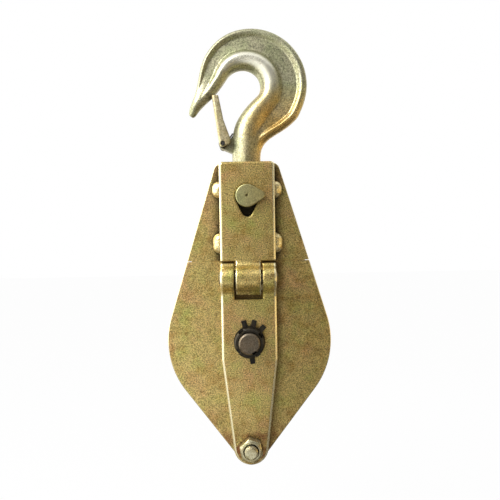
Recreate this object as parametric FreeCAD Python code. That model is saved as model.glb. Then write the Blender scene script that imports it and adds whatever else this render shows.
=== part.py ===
import FreeCAD, Part
import math
import os

# Single sheave snatch block with a swivelling hook and an opening side plate.
# Millimetres. Z is up with the block hanging, the opening side faces -Y, and
# the origin is the centre of the hook's bowl, on the load line.

# Heights on the load line
CROSSHEAD_Z = -90.0
AXLE_Z = -200.5
TIP_BOLT_Z = -281.2
PLATE_TOP_Z = -63.5
SPLIT_Z = -139.0
SPLIT_GAP = 0.5
STRAP_SPLIT_GAP = 2.0

# Side plates: a thin cheek with a thick load strap on its outside
PLATE_GAP = 32.0
CHEEK_THICKNESS = 3.0
CHEEK_RADIUS = 63.0
CHEEK_TOP_HALF_WIDTH = 24.1
CHEEK_TOP_CORNER = 6.0
CHEEK_TIP_RADIUS = 13.8
CHEEK_EDGE_RADIUS = 0.6
STRAP_THICKNESS = 8.0
STRAP_HALF_WIDTH = 21.2
STRAP_CORNER = 2.5
STRAP_TIP_RADIUS = 13.2
STRAP_TAPER_DROP = 14.0
STRAP_EDGE_RADIUS = 1.8

# Hook forging: its section has a round bead inside, a thin web and a rim outside
BOWL_RADIUS = 14.3
BOWL_CENTRE_X = -2.4
BACK_RADIUS = 45.5
BACK_CENTRE_X = 4.9
BACK_CENTRE_Z = 2.0
BACK_EASE_FROM_DEG = 105.0
BACK_EASE_A_DEG = 0.045
SHANK_RADIUS = 11.5
SHANK_FILLET = 1.3
SHOULDER_PLAY = 0.3
STEM_RADIUS = 8.0
STEM_PROUD = 5.0
STEM_CHAMFER = 1.2
SHANK_SHARES = (0.25, 0.6, 0.9)
BEAD_HALF = 10.5
BEAD_TIP_HALF = 9.2
WEB_HALF = 4.4
RIM_HALF = 7.6
BEAD_SHARE = 0.48
RIM_SHARE = 0.23
BEAD_STEPS = (0.04, 0.17, 0.37, 0.62, 0.83, 0.95)
WEB_STEPS = (0.04, 0.5, 0.96)
RIM_STEPS = (0.93, 0.75, 0.5, 0.22, 0.05)
BOWL_START_DEG = 155
BOWL_END_DEG = -30
SLIM_BEAD_FROM_DEG = 140
STATION_STEP_DEG = 12

# Sections of the hook's tip: inner edge, outer edge, half thickness, how far the web shows
TIP_SECTIONS = (
    ((-42.9, -23.4), (-45.6, -21.2), 1.8, 0.0),
    ((-41.0, -23.2), (-45.9, -18.6), 3.8, 0.0),
    ((-39.5, -21.0), (-44.6, -14.7), 5.2, 0.0),
    ((-37.0, -17.4), (-42.6, -10.0), 6.3, 0.0),
    ((-31.2, -11.8), (-39.9, -3.3), 7.2, 0.2),
    ((-23.9, -5.5), (-38.3, 4.4), 8.0, 0.6),
)

# Sections of its neck: inner edge, outer edge, how far the web shows, shares of bead and rim
NECK_SECTIONS = (
    ((7.3, -8.9), (42.0, -25.6), 1.0, 0.47, 0.22),
    ((1.7, -14.1), (32.9, -33.4), 1.0, 0.52, 0.23),
    ((-3.6, -20.6), (24.5, -38.1), 0.85, 0.60, 0.25),
    ((-7.9, -27.3), (17.8, -42.4), 0.6, 0.68, 0.26),
    ((-10.2, -34.0), (13.7, -47.0), 0.2, 0.72, 0.22),
    ((-11.3, -41.2), (12.0, -51.5), 0.0, 0.72, 0.22),
)
NECK_END_INNER_Z = -49.0
NECK_END_OUTER_Z = -55.5

# Safety latch
LATCH_PIVOT_X = -18.6
LATCH_PIVOT_Z = -46.2
LATCH_TOP_X = -26.7
LATCH_TOP_Z = -8.0
LATCH_WEB_TOP_Z = -8.5
LATCH_WEB_LOW_Z = -37.0
LATCH_SHEET = 1.5
LATCH_NOSE_WIDTH = 5.2
LATCH_HEEL = (5.2, -0.6)
LATCH_HEEL_ROUND = (6.3, 1.6)
LATCH_TOE = (6.2, 3.8)
LATCH_BELLY = (0.9, 18.7)
LATCH_BELLY_ROUND = (-0.5, 26.2)
LATCH_HALF_WIDTH = 9.6
LATCH_BEND_RADIUS = 1.9
LATCH_EYE_RADIUS = 2.8
LATCH_PIN_RADIUS = 1.7
LATCH_PIN_WALL = 0.5
LATCH_PIN_PROUD = 0.9
LATCH_PIN_SLIT = 0.4
LUG_HALF_WIDTH = 4.0
LUG_RADIUS = 3.1
LUG_ROOT_X = -7.0
LUG_ROOT_RADIUS = 2.0
LUG_ROOT_LOW = 6.3
LUG_ROOT_HIGH = 3.7
SPRING_WIRE_RADIUS = 0.6
SPRING_COIL_RADIUS = 2.7
SPRING_TURNS = 1.5
SPRING_PLAY = 0.2
SPRING_STEPS_A_TURN = 12
SPRING_NECK_LEG = ((8.1, 8.5), (4.4, 3.4))
SPRING_WEB_LEG = ((-2.2, 4.0), (-1.1, 9.0), (-1.75, 14.0))

# Crosshead and its teardrop lock
BLOCK_HALF_LENGTH = 17.0
BLOCK_HALF_HEIGHT = 14.0
BLOCK_PLAY = 0.5
JOURNAL_RADIUS = 8.6
LOBE_RADIUS = 3.4
LOBE_REACH = 10.3
HEAD_UNDERSIDE_Y = -27.7
HEAD_FACE_Y = -33.2
SLOT_RADIUS = 9.3
SLOT_LOBE_RADIUS = 4.4
SLOT_BOTTOM_DROP = 15.6
CHEEK_HOLE_RADIUS = 15.5
REAR_JOURNAL_END_Y = 33.2
HEAD_EDGE_RADIUS = 0.9
HEAD_DIMPLE_RADIUS = 1.4
BLOCK_EDGE_RADIUS = 3.0
SNAP_RING_THICKNESS = 1.5
REAR_WASHER_THICKNESS = 2.0
REAR_WASHER_WIDTH = 5.4
RING_GROOVE_DEPTH = 0.8
RING_WIDTH = 2.8
RING_LUG_RADIUS = 2.2
PLIER_HOLE_RADIUS = 0.9
PLIER_HOLES_APART_DEG = 50.0
RING_OPENING = 6.0

# Flap hinge
HINGE_Y = -28.0
HINGE_Z = -152.5
HINGE_PIN_RADIUS = 4.5
HINGE_PIN_HALF_LENGTH = 22.6
HINGE_PIN_CROWN = 0.8
KNUCKLE_RADIUS = 9.0
KNUCKLE_FILLET = 6.5
KNUCKLE_RUN_OUT = 1.6
TONGUE_HALF_WIDTH = 9.4
TONGUE_END_RADIUS = 12.5
TONGUE_EDGE_RADIUS = 0.8
WINDOW_HALF_WIDTH = 10.9
WINDOW_PLAY = 1.0
WINDOW_CORNER = 1.5

# Sheave, its bearing and the axle
SHEAVE_RADIUS = 56.0
SHEAVE_HALF_WIDTH = 12.5
GROOVE_FLOOR_RADIUS = 46.0
GROOVE_RADIUS = 6.4
GROOVE_ARC_DEG = 65.0
HUB_RADIUS = 31.0
HUB_HALF_WIDTH = 10.0
SHEAVE_WEB_HALF = 4.5
SHEAVE_EDGE = 1.2
RIM_BACK_DEPTH = 2.5
RIM_SLOPE = 3.5
HUB_SLOPE = 1.5
GROOVE_EDGE = 1.0
BEARING_STOP = 2.6
SNAP_GROOVE_WIDTH = 1.3
SNAP_GROOVE_DEPTH = 1.2
SNAP_RING_WIDTH = 3.2
SNAP_RING_OPENING = 6.8
SNAP_HOLES_APART_DEG = 30.0
AXLE_RADIUS = 10.0
AXLE_HEAD_RADIUS = 14.5
AXLE_HEAD_HEIGHT = 6.5
AXLE_HEAD_CHAMFER = 1.5
AXLE_END_CHAMFER = 1.1
THREAD_RADIUS = 8.0
AXLE_END_Y = -40.0
KEYWAY_ANGLE_DEG = -60.0
KEYWAY_WIDTH = 3.6
KEYWAY_DEPTH = 1.6
BEARING_OUTER_RADIUS = 23.5
BEARING_HALF_WIDTH = 7.0
LAND_FROM_PITCH = 2.5
RACE_DEPTH = 1.45
BALL_COUNT = 8
BEARING_EDGE = 0.7
CAGE_PLAY = 0.6
CAGE_HALF_THICKNESS = 1.0
SHIELD_DEPTH = 0.9
SHIELD_THICKNESS = 0.6

# Axle nut and tab washer
TAB_WASHER_THICKNESS = 1.5
TAB_WASHER_RADIUS = 11.8
TAB_TIP_RADIUS = 16.7
TAB_WIDTH = 3.7
FLAT_TAB_ANGLES_DEG = (105.0, 76.0, 46.0, -82.0)
LOCKING_TAB_ANGLE_DEG = -55.0
LOCKING_TAB_HEIGHT = 5.4
AXLE_NUT_RADIUS = 11.2
AXLE_NUT_HEIGHT = 7.8
NUT_SLOT_WIDTH = 4.3
NUT_SLOT_DEPTH = 1.9
NUT_FACE_CHAMFER = 1.0

# Bottom bolt, M10
BOLT_RADIUS = 5.0
BOLT_END_Y = -39.4
BOLT_NUT_FLATS = 16.0
BOLT_NUT_HEIGHT = 8.4
BOLT_HEAD_HEIGHT = 6.4
BOLT_CHAMFER = 0.9
BOTTOM_NUT_TURN_DEG = 11.0
BOLT_NUT_COUNTERSINK = 0.9
TIP_SPACER_RADIUS = 9.0

# Hook nut, M16 castle nut
HOOK_NUT_FLATS = 24.0
HOOK_NUT_HEIGHT = 16.0
THRUST_WASHER_THICKNESS = 3.0
THRUST_WASHER_RADIUS = 14.0
CROWN_RADIUS = 10.6
CROWN_HEIGHT = 6.4
CROWN_SLOT_WIDTH = 4.5
CROWN_SLOT_DEPTH = 5.2
COTTER_RADIUS = 1.5
COTTER_WIRE = 0.7
COTTER_EYE_RADIUS = 1.6
COTTER_LEG_REACH = 4.0
COTTER_SPLIT = 0.35

# Clearances and small edges
RUNNING = 0.05
SLIDING = 0.5
SMALL_CHAMFER = 0.6
HEX_FACE_SHARE = 0.88

# Weld beads between strap edge and cheek
WELD_LEG = 5.8
UPPER_WELD_TOP_Z = -77.6
UPPER_WELD_LENGTH = 13.6
LOWER_WELD_TOP_Z = -117.6
LOWER_WELD_LENGTH = 16.0

INNER_FACE_Y = PLATE_GAP / 2.0
CHEEK_FACE_Y = INNER_FACE_Y + CHEEK_THICKNESS
STRAP_FACE_Y = CHEEK_FACE_Y + STRAP_THICKNESS
BLOCK_HALF_WIDTH = INNER_FACE_Y - BLOCK_PLAY
SHANK_SHOULDER_Z = CROSSHEAD_Z + BLOCK_HALF_HEIGHT + SHOULDER_PLAY
WASHER_TOP_Z = CROSSHEAD_Z - BLOCK_HALF_HEIGHT - RUNNING
HOOK_NUT_TOP_Z = WASHER_TOP_Z - THRUST_WASHER_THICKNESS
HOOK_NUT_LOW_Z = HOOK_NUT_TOP_Z - HOOK_NUT_HEIGHT
STEM_END_Z = HOOK_NUT_LOW_Z - STEM_PROUD
COTTER_Z = HOOK_NUT_LOW_Z + CROWN_SLOT_DEPTH / 2.0
RING_GROOVE_Y = STRAP_FACE_Y + RUNNING + REAR_WASHER_THICKNESS
BALL_PITCH_RADIUS = (AXLE_RADIUS + BEARING_OUTER_RADIUS) / 2.0
INNER_RING_RADIUS = BALL_PITCH_RADIUS - LAND_FROM_PITCH
OUTER_RING_BORE = BALL_PITCH_RADIUS + LAND_FROM_PITCH
BALL_RADIUS = LAND_FROM_PITCH + RACE_DEPTH
CAGE_HALF_WIDTH = BEARING_HALF_WIDTH - SHIELD_DEPTH - SHIELD_THICKNESS - CAGE_PLAY
BIG = 400.0
SMALL = 0.01
ALONG_X = FreeCAD.Vector(1, 0, 0)
ALONG_Y = FreeCAD.Vector(0, 1, 0)
ALONG_Z = FreeCAD.Vector(0, 0, 1)


def point(x, y, z):
    return FreeCAD.Vector(x, y, z)


def on_circle(radius, degrees):
    """Place at an angle on a circle, as the two offsets along its plane."""
    angle = math.radians(degrees)
    return radius * math.cos(angle), radius * math.sin(angle)


def box_between(low, high):
    size = high.sub(low)
    return Part.makeBox(size.x, size.y, size.z, low)


def rod(radius, start, end):
    span = end.sub(start)
    return Part.makeCylinder(radius, span.Length, start, span)


def joined(first, *others):
    return first.multiFuse(list(others)).removeSplitter()


def turned(outline, origin, direction):
    """Solid of revolution from (radius, distance along the axis) points."""
    side = ALONG_X if abs(direction.dot(ALONG_X)) < 0.5 else ALONG_Z
    corners = [origin + side * radius + direction * along for radius, along in outline]
    face = Part.Face(Part.makePolygon(corners + corners[:1]))
    return face.revolve(origin, direction, 360)


def hull_face(circles, y):
    """Face around circles (x, z, radius), listed anticlockwise as seen from the front."""
    edges = []
    touches = []
    for here, following in zip(circles, circles[1:] + circles[:1]):
        run = following[0] - here[0]
        rise = following[1] - here[1]
        length = math.hypot(run, rise)
        lean = (here[2] - following[2]) / length
        square = math.sqrt(1.0 - lean * lean)
        normal_x = (run * lean + rise * square) / length
        normal_z = (rise * lean - run * square) / length
        leave = point(here[0] + here[2] * normal_x, y, here[1] + here[2] * normal_z)
        arrive = point(
            following[0] + following[2] * normal_x, y, following[1] + following[2] * normal_z
        )
        edges.append(Part.LineSegment(leave, arrive).toShape())
        touches.append((arrive, following))
    for index, (start, circle) in enumerate(touches):
        end = edges[(index + 1) % len(circles)].Vertexes[0].Point
        centre = point(circle[0], y, circle[1])
        if circle[2] > 0 and start.distanceToPoint(end) > SMALL:
            from_angle = math.atan2(start.z - centre.z, start.x - centre.x)
            to_angle = math.atan2(end.z - centre.z, end.x - centre.x)
            middle_angle = from_angle + ((to_angle - from_angle) % (2.0 * math.pi)) / 2.0
            x, z = on_circle(circle[2], math.degrees(middle_angle))
            edges.append(Part.Arc(start, centre + point(x, 0, z), end).toShape())
    return Part.Face(Part.Wire(Part.__sortEdges__(edges)))


def hull_plate(circles, y_low, y_high):
    return hull_face(circles, y_low).extrude(point(0, y_high - y_low, 0))


def eased(shape, radius, chosen):
    """Shape with the edges that the test chooses rounded."""
    edges = [edge for edge in shape.Edges if chosen(edge)]
    return shape.makeFillet(radius, edges)


def hexagon(flats, start, end, turn_deg=0.0):
    """Hexagonal prism between two points, with its corners turned off at 30 degrees."""
    face_radius = HEX_FACE_SHARE * flats / 2.0
    span = end.sub(start)
    axis = FreeCAD.Vector(span)
    axis.normalize()
    corner_radius = flats / math.sqrt(3.0)
    side = ALONG_Z if abs(axis.dot(ALONG_Z)) < 0.5 else ALONG_X
    across = axis.cross(side)
    corners = []
    for index in range(6):
        angle = math.radians(60.0 * index + turn_deg)
        offset = side * (corner_radius * math.cos(angle)) + across * (corner_radius * math.sin(angle))
        corners.append(start + offset)
    prism = Part.Face(Part.makePolygon(corners + corners[:1])).extrude(span)
    drop = (corner_radius - face_radius) * math.tan(math.radians(30.0))
    rounding = turned(
        [
            (0, 0),
            (face_radius, 0),
            (corner_radius, drop),
            (corner_radius, span.Length - drop),
            (face_radius, span.Length),
            (0, span.Length),
        ],
        start,
        axis,
    )
    return prism.common(rounding)


def mirrored_y(shape):
    return shape.mirror(point(0, 0, 0), ALONG_Y)


def write(name, shape):
    shape.exportStep("parts/" + name + ".step")


def flank_angle():
    """Angle of the cheek's upper flank, tangent to the big arc and through the top corner."""
    height = PLATE_TOP_Z - AXLE_Z
    reach = math.hypot(CHEEK_TOP_HALF_WIDTH, height)
    return math.asin(CHEEK_RADIUS / reach) - math.atan2(CHEEK_TOP_HALF_WIDTH, height)


def cheek_plate():
    """Full length cheek blank on the front side."""
    lean = flank_angle()
    corner_z = PLATE_TOP_Z - CHEEK_TOP_CORNER
    flank_x = (CHEEK_RADIUS - (corner_z - AXLE_Z) * math.sin(lean)) / math.cos(lean)
    corner_x = flank_x - CHEEK_TOP_CORNER / math.cos(lean)
    circles = [
        (0, TIP_BOLT_Z, CHEEK_TIP_RADIUS),
        (0, AXLE_Z, CHEEK_RADIUS),
        (corner_x, corner_z, CHEEK_TOP_CORNER),
        (-corner_x, corner_z, CHEEK_TOP_CORNER),
        (0, AXLE_Z, CHEEK_RADIUS),
    ]
    blank = hull_plate(circles, -CHEEK_FACE_Y, -INNER_FACE_Y)
    return eased(blank, CHEEK_EDGE_RADIUS, lambda edge: edge.BoundBox.YMax < -CHEEK_FACE_Y + SMALL)


def strap_plate():
    """Full length strap blank on the front side, with its outer edge rounded."""
    corner_x = STRAP_HALF_WIDTH - STRAP_CORNER
    taper_z = AXLE_Z - STRAP_TAPER_DROP
    circles = [
        (0, TIP_BOLT_Z, STRAP_TIP_RADIUS),
        (corner_x, taper_z, STRAP_CORNER),
        (corner_x, PLATE_TOP_Z - STRAP_CORNER, STRAP_CORNER),
        (-corner_x, PLATE_TOP_Z - STRAP_CORNER, STRAP_CORNER),
        (-corner_x, taper_z, STRAP_CORNER),
    ]
    blank = hull_plate(circles, -STRAP_FACE_Y, -CHEEK_FACE_Y)
    return eased(blank, STRAP_EDGE_RADIUS, lambda edge: edge.BoundBox.YMax < -STRAP_FACE_Y + SMALL)


def above_split():
    return box_between(point(-BIG, -BIG, SPLIT_Z), point(BIG, BIG, BIG))


def below_split(gap):
    return box_between(point(-BIG, -BIG, -BIG), point(BIG, BIG, SPLIT_Z - gap))


def knuckle_rise():
    """Height above the hinge at which the knuckle's fillet meets the strap's face."""
    offset = HINGE_Y + STRAP_FACE_Y + KNUCKLE_FILLET
    return math.sqrt((KNUCKLE_RADIUS + KNUCKLE_FILLET) ** 2 - offset ** 2)


def knuckle_block(x_low, x_high):
    """Stretch of strap that swells round the hinge pin and runs out in a fillet each way."""
    front = -STRAP_FACE_Y
    back = -CHEEK_FACE_Y
    rise = knuckle_rise()
    ends = HINGE_Z + rise + KNUCKLE_RUN_OUT, HINGE_Z - rise - KNUCKLE_RUN_OUT
    toward_pin = point(0, HINGE_Y - front + KNUCKLE_FILLET, -rise).normalize()
    halfway = (toward_pin + ALONG_Y).normalize()
    sides = []
    for way in (1.0, -1.0):
        centre = point(x_low, front - KNUCKLE_FILLET, HINGE_Z + way * rise)
        base = centre + ALONG_Y * KNUCKLE_FILLET
        middle = centre + point(0, halfway.y, way * halfway.z) * KNUCKLE_FILLET
        touch = centre + point(0, toward_pin.y, way * toward_pin.z) * KNUCKLE_FILLET
        sides.append((base, middle, touch))
    (top_base, top_middle, top_touch), (low_base, low_middle, low_touch) = sides
    crown = point(x_low, HINGE_Y - KNUCKLE_RADIUS, HINGE_Z)
    corners = [
        top_base,
        point(x_low, front, ends[0]),
        point(x_low, back, ends[0]),
        point(x_low, back, ends[1]),
        point(x_low, front, ends[1]),
        low_base,
    ]
    edges = [Part.LineSegment(here, following).toShape() for here, following in zip(corners, corners[1:])]
    edges += [
        Part.Arc(top_base, top_middle, top_touch).toShape(),
        Part.Arc(top_touch, crown, low_touch).toShape(),
        Part.Arc(low_touch, low_middle, low_base).toShape(),
    ]
    profile = Part.Face(Part.Wire(Part.__sortEdges__(edges)))
    return profile.extrude(point(x_high - x_low, 0, 0))


def ear(side):
    """Knuckle of the lower strap on one side, its outer edge rounded like the strap's."""
    outer = side * STRAP_HALF_WIDTH
    inner = side * WINDOW_HALF_WIDTH
    block = knuckle_block(min(inner, outer), max(inner, outer))
    return eased(
        block,
        STRAP_EDGE_RADIUS,
        lambda edge: abs(edge.BoundBox.XMin - outer) < SMALL
        and abs(edge.BoundBox.XMax - outer) < SMALL
        and edge.BoundBox.YMax < -STRAP_FACE_Y + SMALL,
    )


def tongue():
    """Knuckle of the flap, ended below the pin by an arc about it."""
    block = knuckle_block(-TONGUE_HALF_WIDTH, TONGUE_HALF_WIDTH)
    block = eased(
        block,
        TONGUE_EDGE_RADIUS,
        lambda edge: edge.BoundBox.XLength < SMALL and edge.BoundBox.YMax < -STRAP_FACE_Y + SMALL,
    )
    below_pin = box_between(point(-BIG, -BIG, -BIG), point(BIG, BIG, HINGE_Z))
    rounded_end = rod(
        TONGUE_END_RADIUS,
        point(-TONGUE_HALF_WIDTH, HINGE_Y, HINGE_Z),
        point(TONGUE_HALF_WIDTH, HINGE_Y, HINGE_Z),
    )
    return block.cut(below_pin.cut(rounded_end))


def hinge_bore(radius):
    return rod(radius, point(-BIG, HINGE_Y, HINGE_Z), point(BIG, HINGE_Y, HINGE_Z))


def through_hole(radius, z):
    return rod(radius, point(0, -BIG, z), point(0, BIG, z))


def window():
    """Gap in the lower front plates that the flap's tongue turns in."""
    above_pin = box_between(point(-WINDOW_HALF_WIDTH, -BIG, HINGE_Z), point(WINDOW_HALF_WIDTH, 0, BIG))
    round_tongue = rod(
        TONGUE_END_RADIUS + WINDOW_PLAY,
        point(-WINDOW_HALF_WIDTH, HINGE_Y, HINGE_Z),
        point(WINDOW_HALF_WIDTH, HINGE_Y, HINGE_Z),
    )
    round_tongue = eased(round_tongue, WINDOW_CORNER, lambda edge: edge.isClosed())
    return joined(above_pin, round_tongue)


def slot_cutter():
    """Teardrop slot with its lobe hanging down."""
    lobe_z = CROSSHEAD_Z - SLOT_BOTTOM_DROP + SLOT_LOBE_RADIUS
    circles = [(0, CROSSHEAD_Z, SLOT_RADIUS), (0, lobe_z, SLOT_LOBE_RADIUS)]
    return hull_plate(circles, -BIG, 0)


def front_plates():
    """Flap strap, flap cheek, lower strap and lower cheek, cut from two full length blanks."""
    cheek = cheek_plate()
    strap = strap_plate()
    flap_cheek = cheek.common(above_split()).cut(through_hole(CHEEK_HOLE_RADIUS, CROSSHEAD_Z))
    flap_strap = strap.common(above_split()).cut(slot_cutter())
    flap_strap = joined(flap_strap, tongue()).cut(hinge_bore(HINGE_PIN_RADIUS + RUNNING))
    lower_cheek = cheek.common(below_split(SPLIT_GAP)).cut(window())
    rise = knuckle_rise() + KNUCKLE_RUN_OUT
    ear_room = box_between(point(-BIG, -BIG, HINGE_Z - rise), point(BIG, BIG, HINGE_Z + rise))
    strap_below = strap.common(below_split(STRAP_SPLIT_GAP)).cut(ear_room)
    ears = [ear(side).common(below_split(STRAP_SPLIT_GAP)) for side in (-1.0, 1.0)]
    lower_strap = joined(strap_below, *ears).cut(window())
    lower_strap = lower_strap.cut(hinge_bore(HINGE_PIN_RADIUS))
    lower_strap = lower_strap.cut(through_hole(AXLE_RADIUS, AXLE_Z))
    lower_strap = lower_strap.cut(through_hole(BOLT_RADIUS, TIP_BOLT_Z))
    lower_cheek = lower_cheek.cut(through_hole(AXLE_RADIUS, AXLE_Z))
    lower_cheek = lower_cheek.cut(through_hole(BOLT_RADIUS, TIP_BOLT_Z))
    return flap_strap, flap_cheek, lower_strap, lower_cheek


def rear_plates():
    """Full length strap and cheek of the fixed side."""
    cheek = mirrored_y(cheek_plate())
    strap = mirrored_y(strap_plate())
    strap = strap.cut(through_hole(JOURNAL_RADIUS + RUNNING, CROSSHEAD_Z))
    cheek = cheek.cut(through_hole(JOURNAL_RADIUS + SLIDING, CROSSHEAD_Z))
    for radius, z in ((AXLE_RADIUS, AXLE_Z), (BOLT_RADIUS, TIP_BOLT_Z)):
        strap = strap.cut(through_hole(radius, z))
        cheek = cheek.cut(through_hole(radius, z))
    return strap, cheek


def weld_bead(side, top_z, length):
    """Fillet bead with rounded ends in the corner between a strap edge and the front cheek."""
    x = side * STRAP_HALF_WIDTH
    low = point(x, -CHEEK_FACE_Y, top_z - length + WELD_LEG)
    high = point(x, -CHEEK_FACE_Y, top_z - WELD_LEG)
    bead = joined(
        rod(WELD_LEG, low, high),
        Part.makeSphere(WELD_LEG, low),
        Part.makeSphere(WELD_LEG, high),
    )
    x_far = x + side * 2.0 * WELD_LEG
    corner = box_between(
        point(min(x, x_far), -CHEEK_FACE_Y - 2.0 * WELD_LEG, -BIG),
        point(max(x, x_far), -CHEEK_FACE_Y, BIG),
    )
    return bead.common(corner)


def welds():
    beads = []
    for side in (-1.0, 1.0):
        beads.append(weld_bead(side, UPPER_WELD_TOP_Z, UPPER_WELD_LENGTH))
        beads.append(weld_bead(side, LOWER_WELD_TOP_Z, LOWER_WELD_LENGTH))
    return Part.makeCompound(beads)


def hinge_pin():
    """Pin with a shallow domed end at each side."""
    half = HINGE_PIN_HALF_LENGTH
    crown = HINGE_PIN_CROWN
    outline = [
        (0, -half),
        (HINGE_PIN_RADIUS - 2.0 * crown, -half),
        (HINGE_PIN_RADIUS, -half + crown),
        (HINGE_PIN_RADIUS, half - crown),
        (HINGE_PIN_RADIUS - 2.0 * crown, half),
        (0, half),
    ]
    return turned(outline, point(0, HINGE_Y, HINGE_Z), ALONG_X)


def hook_section(inner, outer, halves, webbing, bead_share=BEAD_SHARE, rim_share=RIM_SHARE):
    """Poles of a closed section between two points in the hook's plane.

    halves are the half thicknesses of bead, web and rim, webbing says how far the web shows.
    """
    bead, web, rim = halves
    poles = []
    for step in BEAD_STEPS:
        poles.append((bead_share * step, max(bead * round_height(step), web * (step > 0.5))))
    web_width = 1.0 - bead_share - rim_share
    for step in WEB_STEPS:
        poles.append((bead_share + web_width * step, web))
    for step in RIM_STEPS:
        poles.append((1.0 - rim_share * step, max(rim * round_height(step), web * (step > 0.5))))
    across = outer.sub(inner)
    front = []
    back = []
    for share, ribbed in poles:
        half = bead * round_height(share) * (1.0 - webbing) + ribbed * webbing
        front.append(inner + across * share - ALONG_Y * half)
        back.append(inner + across * share + ALONG_Y * half)
    return [inner] + front + [outer] + back[::-1]


def round_height(share):
    """Height of a half circle of radius 1 at that share of its width."""
    return math.sqrt(1.0 - (2.0 * share - 1.0) ** 2)


def lofted(sections):
    """Closed solid whose smooth skin takes the section points as its poles."""
    degree = 3
    around = len(sections[0])
    along = len(sections)
    poles = [[section[index] for section in sections] for index in range(around)]
    skin = Part.BSplineSurface()
    skin.buildFromPolesMultsKnots(
        poles,
        [1] * (around + 1),
        [degree + 1] + [1] * (along - degree - 1) + [degree + 1],
        list(range(around + 1)),
        list(range(along - degree + 1)),
        True,
        False,
        degree,
        degree,
    )
    wall = skin.toShape()
    rims = [edge for edge in wall.Edges if edge.isClosed() and not edge.isSeam(wall)]
    caps = [Part.Face(Part.Wire(rim)) for rim in rims]
    shell = Part.makeShell([wall] + caps)
    shell.sewShape()
    return Part.makeSolid(Part.Shell(shell.Faces))


def in_plane(place):
    return point(place[0], 0, place[1])


def bowl_station(degrees):
    """Inner and outer edge of the hook on a ray from the bowl's centre."""
    x, z = on_circle(1.0, degrees)
    offset = BACK_CENTRE_X - BOWL_CENTRE_X
    along = offset * x + BACK_CENTRE_Z * z
    aside = offset * z - BACK_CENTRE_Z * x
    back = along + math.sqrt(BACK_RADIUS ** 2 - aside ** 2)
    back -= BACK_EASE_A_DEG * max(0.0, degrees - BACK_EASE_FROM_DEG)
    centre = point(BOWL_CENTRE_X, 0, 0)
    return centre + point(x, 0, z) * BOWL_RADIUS, centre + point(x, 0, z) * back


def hook_body():
    """Forging: tip, bowl and neck lofted through I sections, then a round shank and stem."""
    sections = []
    for inner, outer, half, webbing in TIP_SECTIONS:
        halves = (half, WEB_HALF, half * RIM_HALF / BEAD_HALF)
        sections.append(hook_section(in_plane(inner), in_plane(outer), halves, webbing))
    for degrees in range(BOWL_START_DEG, BOWL_END_DEG, -STATION_STEP_DEG):
        bead = BEAD_HALF if degrees < SLIM_BEAD_FROM_DEG else BEAD_TIP_HALF
        sections.append(hook_section(*bowl_station(degrees), (bead, WEB_HALF, RIM_HALF), 1.0))
    for inner, outer, webbing, bead_share, rim_share in NECK_SECTIONS:
        bead = BEAD_HALF + (SHANK_RADIUS - BEAD_HALF) * (1.0 - webbing)
        halves = (bead, WEB_HALF, RIM_HALF)
        sections.append(
            hook_section(in_plane(inner), in_plane(outer), halves, webbing, bead_share, rim_share)
        )
    run = SHANK_SHOULDER_Z - NECK_END_OUTER_Z
    rings = [(SHANK_RADIUS, NECK_END_INNER_Z, NECK_END_OUTER_Z)]
    for share in SHANK_SHARES:
        level = NECK_END_OUTER_Z + run * share
        rings.append((SHANK_RADIUS, level, level))
    rings.append((SHANK_RADIUS - SHANK_FILLET, SHANK_SHOULDER_Z, SHANK_SHOULDER_Z))
    for radius, inner_z, outer_z in rings:
        halves = (radius, WEB_HALF, RIM_HALF)
        sections.append(hook_section(point(-radius, 0, inner_z), point(radius, 0, outer_z), halves, 0.0))
    forging = lofted(sections)
    stem = turned(
        [
            (0, SHANK_SHOULDER_Z + STEM_RADIUS / 2.0),
            (STEM_RADIUS, SHANK_SHOULDER_Z + STEM_RADIUS / 2.0),
            (STEM_RADIUS, STEM_END_Z + STEM_CHAMFER),
            (STEM_RADIUS - STEM_CHAMFER, STEM_END_Z),
            (0, STEM_END_Z),
        ],
        point(0, 0, 0),
        ALONG_Z,
    )
    lug = hull_plate(
        [
            (LATCH_PIVOT_X, LATCH_PIVOT_Z, LUG_RADIUS),
            (LUG_ROOT_X, LATCH_PIVOT_Z - LUG_ROOT_LOW, LUG_ROOT_RADIUS),
            (LUG_ROOT_X, LATCH_PIVOT_Z + LUG_ROOT_HIGH, LUG_ROOT_RADIUS),
        ],
        -LUG_HALF_WIDTH,
        LUG_HALF_WIDTH,
    )
    pin_hole = rod(
        LATCH_PIN_RADIUS,
        point(LATCH_PIVOT_X, -BIG, LATCH_PIVOT_Z),
        point(LATCH_PIVOT_X, BIG, LATCH_PIVOT_Z),
    )
    cotter_hole = rod(COTTER_RADIUS, point(-BIG, 0, COTTER_Z), point(BIG, 0, COTTER_Z))
    return joined(forging, stem, lug).cut(pin_hole).cut(cotter_hole)


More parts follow.
